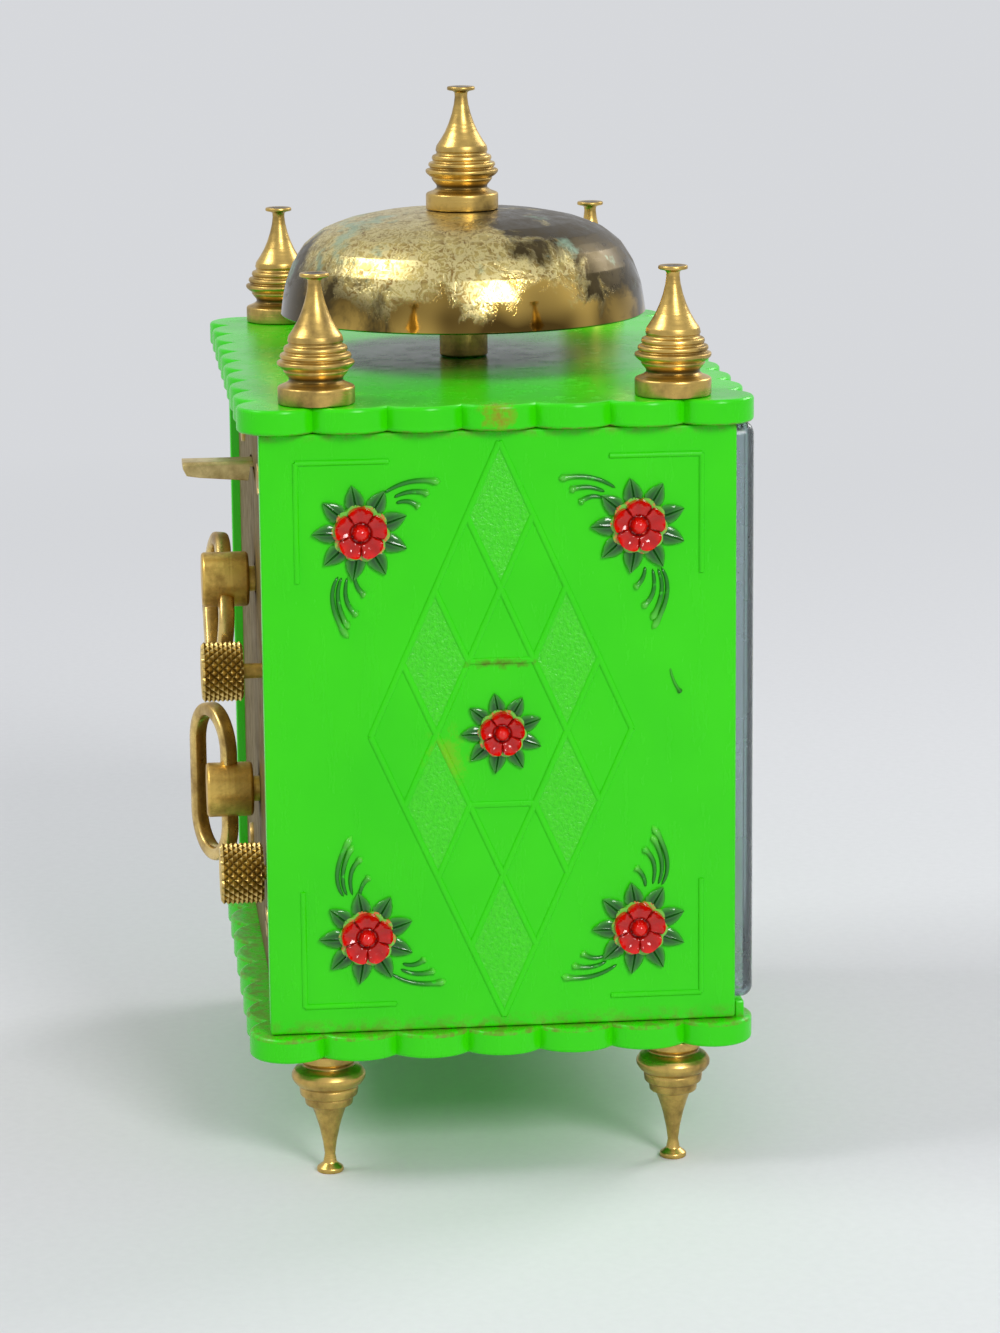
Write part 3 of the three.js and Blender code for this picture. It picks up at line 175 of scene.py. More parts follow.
def moulded(outline, edge, holes=()):
    """A flat piece: its outline is carried up through the edge's (inset, height) pairs, each hole
    goes straight through, and the first and last outline are filled in round the holes."""
    rings = [joined(drawn_in(outline, inset), height) for inset, height in edge]
    ends = [[joined(hole, edge[k][1]) for hole in holes] for k in (0, -1)]
    skins = [grid(np.array(rings))] + [grid(np.array(pair)) for pair in zip(*ends)]
    for ring, hole_ends in zip((rings[0], rings[-1]), ends):
        loops = [ring, *hole_ends]
        fill = np.array(tessellate_polygon([loop.tolist() for loop in loops]))
        skins.append((joined(np.vstack(loops), 0), fill))
    return skins


def way(angle):
    """Unit directions at the angles."""
    return np.stack([np.cos(angle), np.sin(angle)], -1)


def circle(radius, steps=24, at=(0, 0)):
    """Points at equal steps round a circle."""
    return way(np.arange(steps) * 2 * math.pi / steps) * radius + at


def box_outline(u0, u1, v0, v1, radius=0.3, steps=5):
    """A rectangle with rounded corners: each quarter of a circle is carried out to its own corner."""
    angle = (np.arange(4)[:, None] + np.linspace(0, 1, steps)) * math.pi / 2
    corner = np.array([(u1, v1), (u0, v1), (u0, v0), (u1, v0)])
    corner = corner - radius * np.array([(1, 1), (-1, 1), (-1, -1), (1, -1)])
    return (corner[:, None] + radius * way(angle)).reshape(-1, 2)


lobe, rise, lobes_wide, lobes_deep = 7.5, 1.7, 10, 7
half_x, half_y = lobe * lobes_wide / 2, lobe * lobes_deep / 2
bottom_z, top_z, plate_thickness = 13.2, 78.4, 2.6


def scallops():
    """The plates' outline: an arc that rises 1.7 mm over each 7.5 mm pitch, set along the four
    sides, and a fuller arc through the last two notches at each corner."""
    radius = (lobe**2 / 4 + rise**2) / (2 * rise)
    half = math.asin(lobe / 2 / radius)
    mid, chord = (lobe + rise) / 2, (lobe - rise) / math.sqrt(2)
    shift = math.sqrt(4 * mid**2 - 2 * chord**2) - math.sqrt(2) * mid
    corner_half = math.pi - math.atan2(chord, shift)
    parts = []
    for side in range(4):
        out = np.array([(1, 0), (0, 1), (-1, 0), (0, -1)][side])
        along = np.array([-out[1], out[0]])
        reach, run, count = [(half_x, half_y, lobes_deep), (half_y, half_x, lobes_wide)][side % 2]
        arc = side * math.pi / 2 + np.linspace(-half, half, 15)[:-1]
        starts = (-run + lobe * (np.arange(1, count - 1) + 0.5))[:, None, None] * along
        lobes = starts + out * (reach - radius) + radius * way(arc)
        parts.append(lobes.reshape(-1, 2))
        turn = side * math.pi / 2 + math.pi / 4 + np.linspace(-corner_half, corner_half, 29)[:-1]
        centre = out * (reach - mid) + along * (run - mid) + (out + along) * shift / math.sqrt(2)
        parts.append(centre + math.hypot(chord, shift) * way(turn))
    return np.vstack(parts)


# Glossy moulded polystyrene: a strong even green under a hard shine, with faint sink waves, fine
# handling scuffs in the shine and brown dust along the seams with the plates.
green = finish("glossy_moulded_green_polystyrene")
where = add(green, "TexCoord", give="Object")
cloud = add(green, "TexNoise", where, Scale=70.0, Detail=3.0)
tone = add(green, "Mix", cloud, "#2CCA00", "#3CDE00", data_type="RGBA")
height = add(green, "SeparateXYZ", where, give="Z")
low_seam, high_seam = (bottom_z + plate_thickness) / 1000, top_z / 1000
dust_low = add(green, "MapRange", height, low_seam - 0.0004, low_seam + 0.0018, 1.0, 0.0)
not_below = add(green, "Math", height, low_seam - 0.0004, operation="GREATER_THAN")
dust_low = add(green, "Math", dust_low, not_below, operation="MULTIPLY")
dust_high = add(green, "MapRange", height, high_seam - 0.001, high_seam + 0.0002, 0.0, 1.0)
not_above = add(green, "Math", height, high_seam + 0.0002, operation="LESS_THAN")
dust_high = add(green, "Math", dust_high, not_above, operation="MULTIPLY")
dust = add(green, "Math", dust_low, dust_high, operation="MAXIMUM")
grit = add(green, "TexNoise", where, Scale=900.0, Detail=4.0, Roughness=0.7)
grit = add(green, "MapRange", grit, 0.42, 0.62, 0.0, 0.75)
dust = add(green, "Math", dust, grit, operation="MULTIPLY")
speck = add(green, "TexNoise", where, Scale=260.0, Detail=5.0, Roughness=0.75)
speck = add(green, "MapRange", speck, 0.72, 0.78, 0.0, 0.5)
dirt = add(green, "Math", dust, speck, operation="MAXIMUM")
tone = add(green, "Mix", dirt, tone, "#7A7230", data_type="RGBA")
# A small scorch on the top plate's edge, dirt along the left panel's cross bar, and a faint smudge.
for spot, shrink, depth, stain in (
    ((-0.0371, axis_y + 0.0003, 0.0799), (1, 1, 1), 0.75, "#A5651C"),
    ((-0.0358, axis_y, 0.0543), (1, 0.42, 3.2), 0.8, "#5E5A14"),
    ((-0.0358, axis_y + 0.0056, 0.0447), (1, 0.8, 0.6), 0.22, "#C87820"),
):
    near = add(green, "VectorMath", where, spot, operation="SUBTRACT")
    near = add(green, "VectorMath", near, shrink, operation="MULTIPLY")
    near = add(green, "VectorMath", near, operation="LENGTH")
    near = add(green, "Math", grit, 0.0016, near, operation="MULTIPLY_ADD")
    near = add(green, "MapRange", near, 0.0006, 0.0024, depth, 0.0)
    tone = add(green, "Mix", near, tone, stain, data_type="RGBA")
scuff = add(green, "Mapping", where, Scale=(1.0, 1.0, 0.25))
scuff = add(green, "TexNoise", scuff, Scale=420.0, Detail=6.0, Roughness=0.7)
shine = add(green, "MapRange", scuff, 0.3, 0.75, 0.2, 0.32)
shine = add(green, "Math", shine, dirt, shine, operation="MULTIPLY_ADD")
wave = add(green, "TexNoise", where, Scale=130.0, Detail=1.0)
bump = add(green, "Bump", Height=wave, Distance=0.00006, Strength=0.35)
bump = add(green, "Bump", Height=scuff, Distance=0.00001, Strength=0.12, Normal=bump)
shader = {"Base_Color": tone, "Roughness": shine, "IOR": 1.5, "Specular_IOR_Level": 0.3, "Normal": bump}
add(green, "BsdfPrincipled", **shader)

rod_places = [(x, y) for x in (-32.7, 32.7) for y in (-18.1, 18.1)]
rod_hole, post_hole = 0.9, 1.5
rod_holes = [circle(rod_hole, 16, p) for p in rod_places]
hammer_slot = box_outline(12.6, 16.4, -0.9, 0.9)
plate_outline, plate_edge = scallops(), rounded_edge(0, plate_thickness, 0.35)
front_u = 35.2  # half the width of the sill and of the clear front that stands on it
sill = moulded(box_outline(-front_u, front_u, -25.2, -24.27, 0.2), rounded_edge(-0.4, 1.7, 0.2, 3))
bottom = moulded(plate_outline, plate_edge, rod_holes)
bottom += [moved(skin, place=(0, 0, plate_thickness)) for skin in sill]
top = moulded(plate_outline, plate_edge, rod_holes + [circle(post_hole, 16), hammer_slot])
for name, skins, z in (("bottom_plate", bottom, bottom_z), ("top_plate", top, top_z)):
    piece(name + "_moulded", skins, green, "glossy_green_plastic", name, place=(0, 0, z), sharp=12)

# Tie rods, feet and finials. The rods are steel. The feet and finials screw on to their ends: turned
# from brass bar on a lathe, with fine rings from the tool, and dark where hands don't reach.


def eased(corners, radius, times=2):
    """A broken line with its inner corners rounded: each is cut off at the radius, then what is
    left is cut at half of it, and so on, or nearer where a stretch is short."""
    corners = np.array(corners, float)
    for cut in radius / 2.0 ** np.arange(times):
        steps = np.diff(corners, axis=0)
        share = np.minimum(cut / np.linalg.norm(steps, axis=1), 0.4)[:, None]
        pairs = np.stack([corners[:-1] + steps * share, corners[1:] - steps * share], 1).reshape(-1, 2)
        corners = np.vstack([corners[:1], pairs[1:-1], corners[-1:]])
    return corners


def turned(profile, sides=64, closed=False):
    """A profile of (radius, height) pairs turned about w. A point is as deep in a groove as the
    lesser of the greatest radii within 0.8 mm above it and below it stands over its own."""
    r, h = np.array(profile, float).T
    gap = h[None, :] - h[:, None]
    above, below = [np.where((g > 0.02) & (g < 0.8), r[None, :], 0).max(1) for g in (gap, -gap)]
    groove = np.clip((np.minimum(above, below) - r) / 0.6, 0, 1)
    return grid(joined(r[:, None, None] * circle(1, sides), np.stack([h, groove], -1)[:, None]), closed)


def brass(name, bright, dull, lines, rough):
    """Brass off a tool: a warm gold whose tool lines, drawn at about twice their real 0.1 mm pitch
    so that they show, run across the given scale. It is brown in its grooves and in old patches."""
    made = finish(name)
    where = add(made, "TexCoord", give="Object")
    marks = add(made, "Mapping", where, Scale=lines)
    marks = add(made, "TexNoise", marks, Scale=1.0, Detail=2.0)
    patch = add(made, "TexNoise", where, Scale=330.0, Detail=6.0, Roughness=0.65)
    age = add(made, "MapRange", patch, 0.42, 0.68, 0.0, 0.85)
    groove = add(made, "Attribute", attribute_name="groove", give="Fac")
    grime = add(made, "MapRange", groove, 0.05, 0.8, 0.0, 0.9)
    tone = add(made, "Mix", age, bright, dull, data_type="RGBA")
    tone = add(made, "Mix", grime, tone, "#3B2A10", data_type="RGBA")
    worn = add(made, "Math", age, 0.2, rough, operation="MULTIPLY_ADD")
    worn = add(made, "Math", marks, 0.16, worn, operation="MULTIPLY_ADD")
    bump = add(made, "Bump", Height=marks, Distance=0.00003, Strength=0.5)
    bump = add(made, "Bump", Height=patch, Distance=0.00002, Strength=0.35, Normal=bump)
    add(made, "BsdfPrincipled", Base_Color=tone, Metallic=1.0, Roughness=worn, Normal=bump)
    return made


def mottled(name, colours, scale, detail, rough=None, dent=None, **shader):
    """A thin even finish that one noise varies, between two colours and, if given, two roughnesses
    with a dent: its bump's height in metres and its strength."""
    made = finish(name)
    where = add(made, "TexCoord", give="Object")
    patch = add(made, "TexNoise", where, Scale=scale, Detail=detail)
    tone = add(made, "Mix", patch, *colours, data_type="RGBA")
    if rough:
        shader["Roughness"] = add(made, "MapRange", patch, 0.3, 0.7, *rough)
        shader["Normal"] = add(made, "Bump", Height=patch, Distance=dent[0], Strength=dent[1])
    add(made, "BsdfPrincipled", Base_Color=tone, **shader)
    return made


def carry_over(material, *names):
    """CAD nodes whose shape is right stay, and take their real finish."""
    for name in names:
        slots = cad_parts[name].data.materials
        slots.clear()
        slots.append(material)


# Feet, post and finials were turned upright: fine bright rings run round them, warm on each crest.
turned_brass = brass("brass_turned_upright", "#D2B062", "#7E683C", (60.0, 60.0, 5000.0), 0.21)
# Drawn steel wire: grey, satin, with fine draw lines and a little darker in patches.
grey = ("#A6A8AB", "#77797D")
steel = mottled("bright_drawn_steel", grey, 500.0, 5.0, (0.28, 0.5), (0.00001, 0.3), Metallic=1.0)

corner_names = ("front_left", "rear_left", "front_right", "rear_right")
carry_over(steel, *["tie_rod_" + c for c in corner_names])

foot_x, finial_z = 32.6, 81.05
foot_profile = [
    (0, 0), (1.4, 0), (1.4, 0.45), (0.72, 0.95), (0.55, 1.9), (0.72, 3.2), (1.08, 4.9), (1.5, 6.3),
    (1.85, 7.25), (2.45, 7.4), (2.55, 8.15), (2.45, 8.3), (2.98, 8.42), (3.08, 9.2), (2.98, 9.4),
    (3.5, 9.75), (3.85, 10.3), (3.85, 10.75), (3.5, 11.25), (2.7, 11.6), (2.62, 11.85), (2.9, 12.2),
    (2.9, 13.15), (0, 13.15),
]
finial_profile = [
    (0, 0), (3.85, 0), (3.9, 0.12), (3.9, 1.6), (3.8, 1.75), (3.1, 2.02), (2.72, 2.3), (2.75, 2.6),
    (3.1, 3.0), (3.3, 3.3), (3.2, 3.4), (3.55, 3.6), (3.9, 3.95), (3.9, 4.25), (3.45, 4.4), (3.42, 4.55),
    (3.62, 4.65), (3.55, 5.0), (3.15, 5.1), (3.12, 5.3), (3.25, 5.4), (3.15, 5.75), (2.75, 5.9),
    (2.7, 6.15), (2.82, 6.25), (2.7, 6.8), (2.25, 7.45), (1.78, 8.25), (1.36, 9.2), (1.02, 10.2),
    (0.78, 11.2), (0.68, 12.0), (0.7, 12.45), (0.95, 12.62), (1.45, 12.7), (1.5, 12.78), (1.5, 13.0),
    (1.4, 13.1), (0.45, 13.02), (0, 13.02),
]
foot, finial = [turned(eased(foot_profile, 0.08))], [turned(eased(finial_profile, 0.06))]
for corner, (x, y) in zip(corner_names, rod_places):
    foot_place, finial_place = (math.copysign(foot_x, x), y, 0), (x, y, finial_z)
    for kind, skins, place in (("foot", foot, foot_place), ("finial", finial, finial_place)):
        name = f"{kind}_turned_{corner}"
        piece(name, skins, turned_brass, "turned_brass", f"{kind}_{corner}", place=place, sharp=40)

# Side panels. Moulded polystyrene, with a raised lattice diamond, corner brackets, stippled cells
# and flowers in relief, whose petals and leaves are painted by hand.
LEFT = np.array([(0, -1, 0), (0, 0, 1), (-1, 0, 0)])
RIGHT = np.array([(0, 1, 0), (0, 0, 1), (1, 0, 0)])
panel_half_u, panel_half_v, panel_out, panel_mid_z = 24.17, 31.2, 35.8, 47.1
cell = np.array([3.35, 7.5])  # half of a lattice cell
buried = -0.4  # how deep a relief's underside lies in the panel
middle_flower = 0.86  # the flower in the middle of the panel is a seventh smaller than the others


def ridges(starts, ends, half_width, height):
    """Straight mouldings between pairs of points: an oval section that is half sunk in the face,
    carried from start to end and drawn to a point at both."""
    starts, ends = np.array(starts, float)[:, None, None], np.array(ends, float)[:, None, None]
    along = ends - starts
    along = along / np.linalg.norm(along, axis=-1, keepdims=True)
    across = along @ np.array([(0, 1), (-1, 0)])
    angle = (np.arange(12) * math.pi / 6)[None, None, :, None]
    side, size, beyond = np.array([(0, 0, -0.4), (0, 1, 0), (1, 1, 0), (1, 0, 0.4)]).T[:, None, :, None, None]
    base = starts + (ends - starts) * side + along * half_width * beyond
    flat = base + across * half_width * size * np.cos(angle)
    return grid(joined(flat, height * size * np.sin(angle)))


def lattice_lines():
    """Two families of five lines, from corner to corner of a diamond four cells wide, less what
    would cross the six-sided middle, and a cross bar above and below it."""
    k = np.array([0, 1, 3, 4])[:, None]
    short_starts = [(-2, 2), (1, -1), (2, 2), (-1, -1), (-1, 1), (-1, -1)]
    short_ends = [(-1, 1), (2, -2), (1, 1), (-2, -2), (1, 1), (1, -1)]
    starts = np.vstack([np.hstack([-k, 4 - k]), np.hstack([k, 4 - k]), short_starts])
    ends = np.vstack([np.hstack([4 - k, -k]), np.hstack([k - 4, -k]), short_ends])
    return starts * cell, ends * cell


def bracket_lines():
    """A right angle in each corner of the panel."""
    corner = np.array([(-1, -1), (-1, 1), (1, -1), (1, 1)])
    apex = corner * (20.57, 28.3)
    return np.vstack([apex, apex]), np.vstack([apex - corner * (9.4, 0), apex - corner * (0, 12.2)])


def stippled_cells():
    """Six lattice cells as low plates: the diamond is drawn in between its lines and lifted."""
    middles = np.array([(0, 3), (0, -3), (2, 1), (2, -1), (-2, 1), (-2, -1)]) * cell
    diamond = np.array([(1, 0), (0, 1), (-1, 0), (0, -1)]) * cell
    size = np.array([0, 0.93, 0.9, 0])[None, :, None, None]
    up = np.array([buried, buried, 0.06, 0.06])[None, :, None, None]
    return grid(joined(middles[:, None, None] + diamond[None, None] * size, up))


flower_middles = np.array([(0, 0), (-14.1, 21.1), (14.1, 21.1), (-14.1, -21.1), (14.1, -21.1)])
flower_sizes = np.where(np.any(flower_middles, 1), 1.0, middle_flower)


def at_each_flower(u, v, lift, groove):
    """One relief repeated at each flower: its flat place is scaled by the flower's size and added
    to the flower's middle."""
    points = np.stack(np.broadcast_arrays(u, v, lift, groove), -1)
    ones = (1,) * (points.ndim - 1)
    flat = flower_middles.reshape(-1, *ones, 2) + flower_sizes.reshape(-1, *ones, 1) * points[..., :2]
    return grid(joined(flat, points[..., 2:]).reshape(-1, *points.shape[-3:]))


def blossom():
    """Round the middle by angle and out by radius: five round petals whose curled rims stand up
    from a hollow, with a cleft between each two and a bead in the middle, then down into the panel."""
    angle = np.arange(120) * math.pi / 60 + math.pi / 2
    share = np.concatenate([np.linspace(0, 1, 22), [1.03, 1.03, 0.0]])[:, None]
    across = np.abs((np.arange(120) / 24) % 1 * 2 - 1)[None]  # 1 in the middle of a petal, 0 in a cleft
    radius = share * 2.65 * (0.8 + 0.2 * np.sqrt(1 - (1 - across) ** 2))
    rim = np.clip((share - 0.45) / 0.55, 0, 1) ** 2.5
    rim = np.maximum(rim, (1 - across) ** 3 * np.clip(share * 1.6 - 0.5, 0, 1))
    cleft = np.exp(-((across / 0.09) ** 2)) * np.clip(share * 2 - 0.6, 0, 1)
    bead = np.sqrt(np.clip(1 - (radius / 0.8) ** 2, 0, 1))
    ring = np.exp(-(((radius - 0.95) / 0.16) ** 2))
    curl = 0.13 * np.sin(angle * 10 + 0.9)[None] * share**3
    lift = 0.56 + 0.66 * rim + curl - 0.5 * cleft - 0.25 * ring + 0.9 * bead
    lift[-3:] = np.array([0.45, buried, buried])[:, None]
    # The groove value turns the red darker in the clefts, round the bead, in each petal's hollow and in the
    # dips of the curled rims: painted shade.
    groove = np.clip(cleft * 0.8 + ring * 0.7 + 0.5 * (1 - rim) * (share > 0.35) - curl * 2, 0, 1)
    return at_each_flower(radius * np.cos(angle), radius * np.sin(angle), lift, groove)


def leaves():
    """Nine pointed leaves round each flower. Along a leaf the half width rises and falls to its
    tip, which curls up. Across it the section is a low roof with a vein let into its ridge, and the
    paint is thick there and worn thin along the edges."""
    along = np.array([0, 0, 0.12, 0.26, 0.4, 0.55, 0.7, 0.83, 0.93, 1, 1])[:, None]
    half = 1.02 * np.sin(math.pi * along**0.8) ** 0.8
    half[[0, -1]] = 0
    across = np.array([-1, -0.75, -0.4, -0.12, 0, 0.12, 0.4, 0.75, 1, 0.8, -0.8])
    roof = np.array([0.22, 0.42, 0.4, 0.5, 0.36, 0.5, 0.4, 0.42, 0.22, buried, buried])
    thick = np.array([0, 0.55, 0.95, 0.8, 1, 0.8, 0.95, 0.55, 0, 0, 0])
    out, side = 1.9 + 3.05 * along, half * across
    turn = (np.arange(9) * 2 * math.pi / 9 + 0.35)[:, None, None]
    u = out * np.cos(turn) - side * np.sin(turn)
    v = out * np.sin(turn) + side * np.cos(turn)
    arch = 0.5 + 0.5 * np.sin(math.pi * np.clip(along, 0.05, 0.97)) ** 0.6 + 0.5 * along**3
    return at_each_flower(u, v, roof * arch, thick * (1 - 0.8 * along**4))


def calyx():
    """Ten sepals that show between the petals and the leaves, as a low dish with a scalloped rim."""
    angle = np.arange(80) * math.pi / 40
    share = np.array([0, 0.5, 0.85, 0.97, 1, 1, 0])[:, None]
    radius = share * (2.7 + 0.34 * np.abs(np.cos(angle * 5 + 0.4)))
    lift = np.array([0.2, 0.25, 0.5, 0.45, 0.2, buried, buried])[:, None]
    return at_each_flower(radius * np.cos(angle), radius * np.sin(angle), lift, 0)


def strokes(bends, thin, thick):
    """Raised strokes: each is a curve from its start through its middle to its end, with a round
    section that swells from thin to thick and ends in a drop, half sunk in the face."""
    a, b, c = np.array(bends, float).reshape(-1, 3, 2).transpose(1, 0, 2)[:, :, None]
    t = np.linspace(0, 1, 21)[None, :, None]
    line = (1 - t) ** 2 * a + 2 * t * (1 - t) * (2 * b - (a + c) / 2) + t**2 * c
    along = np.gradient(line, axis=1)
    across = (along / np.linalg.norm(along, axis=-1, keepdims=True)) @ np.array([(0, 1), (-1, 0)])
    drop = 0.14 * np.exp(-(((t - 0.93) / 0.07) ** 2))
    size = (thin + (thick - thin) * t + drop) * np.sqrt(np.clip(1 - (2 * t - 1) ** 8, 0, 1))
    line, across, size, t = [numbers[:, :, None] for numbers in (line, across, size, t)]
    angle = (np.arange(10) * math.pi / 5)[None, None, :, None]
    flat = line + across * size * 1.15 * np.cos(angle)
    return grid(joined(flat, 1.7 * size * np.sin(angle), t**5))


def sprays():
    """Seven strokes at each corner flower, three along the short edge of the panel and four along
    the long one, turned over to suit their corner."""
    bends = np.array([
        [(2.3, 3.85), (5.0, 5.05), (8.19, 4.95)],
        [(3.4, 3.5), (5.2, 4.05), (7.07, 3.75)],
        [(3.6, 2.9), (4.9, 3.05), (6.04, 2.4)],
        [(-2.3, -4.4), (-2.9, -7.2), (-1.35, -10.85)],
        [(-1.95, -4.5), (-2.35, -7.0), (-1.25, -9.9)],
        [(-1.4, -4.5), (-1.5, -6.9), (-0.3, -8.5)],
        [(-0.65, -4.3), (-0.4, -5.5), (0.45, -6.5)],
    ])
    corner = flower_middles[1:, None, None]
    return strokes(corner + np.sign(corner) * (-1, 1) * bends, 0.15, 0.27)


# Stippled polystyrene: the mould was etched with a grain of about 0.3 mm, which scatters the shine.
stippled = finish("etched_green_polystyrene")
where = add(stippled, "TexCoord", give="Object")
grain = add(stippled, "TexNoise", where, Scale=2600.0, Detail=3.0, Roughness=0.6)
tone = add(stippled, "Mix", grain, "#26BE00", "#4AE40C", data_type="RGBA")
bump = add(stippled, "Bump", Height=grain, Distance=0.00016, Strength=1.0)
shader = {"Base_Color": tone, "Roughness": 0.24, "IOR": 1.5, "Specular_IOR_Level": 0.45, "Normal": bump}
add(stippled, "BsdfPrincipled", **shader)


def paint(name, colour, pooled_and_shaded, worn_away, edge):
    """Thick hobby enamel brushed over the relief: high gloss, darker where it has pooled and, on the
    petals, where painted shade darkens their hollows, and thin or missing where the noise passes the
    edge, where the plastic shows through."""
    made = finish(name)
    where = add(made, "TexCoord", give="Object")
    brush = add(made, "TexNoise", where, Scale=1100.0, Detail=4.0, Roughness=0.6)
    pool_and_shade = add(made, "Attribute", attribute_name="groove", give="Fac")
    bare = add(made, "MapRange", brush, edge, edge + 0.07, 0.0, 0.9)
    tone = add(made, "Mix", pool_and_shade, colour, pooled_and_shaded, data_type="RGBA")
    tone = add(made, "Mix", bare, tone, worn_away, data_type="RGBA")
    bump = add(made, "Bump", Height=brush, Distance=0.00005, Strength=0.5)
    shader = {"Base_Color": tone, "Roughness": 0.1, "IOR": 1.5, "Specular_IOR_Level": 0.55, "Normal": bump}
    add(made, "BsdfPrincipled", **shader)
    return made


# Blood red petals, darker red in their clefts and hollows as painted shade, dark leaves, strokes
# worn to light green, and sepals smeared with both paints.
red_paint = paint("red_brushed_enamel", "#DC0C00", "#7A0500", "#EE5A34", 0.68)
leaf_paint = paint("dark_green_brushed_enamel", "#3CA826", "#0C4412", "#36A824", 0.66)
stroke_paint = paint("thin_green_brushed_enamel", "#157A10", "#5FE038", "#2FC414", 0.6)
sepal_paint = paint("sepals_touched_by_both_enamels", "#6FC83C", "#4FB030", "#DC6A3C", 0.52)

slab = box_outline(-panel_half_u, panel_half_u, -panel_half_v, panel_half_v)
slab = moulded(slab, rounded_edge(-2.0, 0, 0.25))
slab += [ridges(*lattice_lines(), 0.34, 0.22), ridges(*bracket_lines(), 0.3, 0.26)]
for side, turn, out in (("left", LEFT, -panel_out), ("right", RIGHT, panel_out)):
    for name, skins, material, node, sharp in (
        ("moulded", slab, green, side + "_side_panel", 20),
        ("stippled_cells", [stippled_cells()], stippled, None, 20),
        ("sepals", [calyx()], sepal_paint, None, 60),
        ("petals", [blossom()], red_paint, None, 60),
        ("leaves", [leaves()], leaf_paint, None, 60),
        ("sprays", [sprays()], stroke_paint, None, 60),
    ):
        at = {"turn": turn, "place": (out, 0, panel_mid_z), "sharp": sharp}
        piece(f"{side}_panel_{name}", skins, material, "glossy_green_plastic", node, **at)
stray = [strokes([(17.35, 6.21), (17.75, 4.8), (18.49, 3.57)], 0.1, 0.17)]
at = {"turn": LEFT, "place": (-panel_out, 0, panel_mid_z)}
piece("left_panel_stray_paint", stray, leaf_paint, "glossy_green_plastic", **at)

# The going and alarm work. Plates, wheels and barrels are stamped out of rolled brass. Springs,
# levers and the riveted pillars, which also stand it off the case, are steel.
# The stamped brass is a soft gold with a faint grain, and duller where it has aged.
movement_brass = brass("brass_stamped_for_the_movement", "#CDAE66", "#8D7444", (700.0, 250.0, 700.0), 0.28)
carry_over(
    movement_brass, "movement_front_plate", "movement_rear_plate", "balance_cock", "time_barrel",
    "alarm_barrel", "centre_wheel", "third_wheel", "escape_wheel", "alarm_strike_wheel",
    "cannon_pinion", "minute_wheel", "hour_wheel", "alarm_wheel", "balance_wheel",
)
pillar_names = [f"movement_pillar_{v}_{u}" for v in ("lower", "upper") for u in ("left", "right")]
carry_over(
    steel, *pillar_names, "time_mainspring", "alarm_mainspring", "hairspring", "pallet_lever",
    "hammer", "time_click", "alarm_click",
)

# Dial plate, dial and bezel. A pressed brass sheet, with a double border and leaf scrolls in its
# corners, carries an enamelled dial. A narrow brass ring laps over the dial's edge and holds it.
FRONT = np.array([(1, 0, 0), (0, 0, 1), (0, -1, 0)])
dial_at = {"turn": FRONT, "place": (0, 0, 47.15)}
sheet_u = 33.5  # half the width of the dial plate and the back plate
plate_face, dial_face = 22.4, 22.8
# Rolled sheet: fine level lines from the rolls under a mellow gold.
sheet_brass = brass("brass_rolled_sheet", "#D0A956", "#8E7040", (250.0, 250.0, 3500.0), 0.26)

border = np.array([(-32.2, -29.9), (32.2, -29.9), (32.2, 29.8), (-32.2, 29.8)])
relief = []
for k, width in ((1, 0.4), (0.965, 0.22)):
    relief.append(ridges(border * k, np.roll(border, -1, 0) * k, width, width * 0.7))
scrolls = np.array([
    [(30.0, 28.6), (22.0, 28.0), (13.5, 27.9)],
    [(30.0, 28.2), (26.2, 27.2), (21.8, 26.2)],
    [(30.2, 27.6), (27.0, 25.2), (23.6, 22.6)],
    [(30.5, 27.2), (29.0, 23.4), (26.6, 19.6)],
    [(30.9, 26.8), (30.6, 19.2), (29.6, 11.4)],
    [(24.0, 28.3), (20.5, 27.0), (17.6, 27.0)],
    [(30.6, 22.0), (29.2, 18.6), (29.0, 15.6)],
])
quarters = np.array([(1, 1), (-1, 1), (-1, -1), (1, -1)])
relief.append(strokes(scrolls * quarters[:, None, None, None], 0.16, 0.42))
boss = turned(eased([(0, -0.1), (1.25, -0.1), (1.2, 0.35), (0.75, 0.4), (0.6, 0.7), (0, 0.8)], 0.1), 20)
relief += [moved(boss, place=(*(q * (30.6, 28.2)), 0)) for q in quarters]
sheet_edge = rounded_edge(plate_face - 0.6, plate_face, 0.1, 3)
sheet = moulded(box_outline(-sheet_u, sheet_u, -31.25, 31.15, 0.5), sheet_edge, [circle(2.75)])
sheet += [moved(skin, place=(0, 0, plate_face)) for skin in relief]
piece("dial_plate_pressed", sheet, sheet_brass, "sheet_brass", "dial_plate", **dial_at)

# Vitreous enamel on a steel disc: cream, glossy, a little uneven, and yellowed in patches.
cream = ("#F3EDD9", "#E6DBB8")
enamel = mottled("cream_vitreous_enamel", cream, 90.0, 4.0, (0.14, 0.26), (0.00005, 0.3), IOR=1.5)
disc = [
    (2.8, 22.5), (26.45, 22.5), (26.5, 22.6), (26.5, 22.7), (26.4, dial_face), (2.9, dial_face),
    (2.8, 22.72),
]
piece("dial_enamelled", [turned(disc, 96, True)], enamel, "dial_enamel", "dial", **dial_at)
ring = [
    (26.6, 22.35), (28.1, 22.35), (28.1, 22.6), (27.7, 22.7), (27.4, 22.95), (26.9, 23.08), (26.3, 23.0),
    (26.1, 22.86), (26.6, 22.84),
]
piece("dial_bezel", [turned(ring, 96, True)], sheet_brass, "sheet_brass", **dial_at)


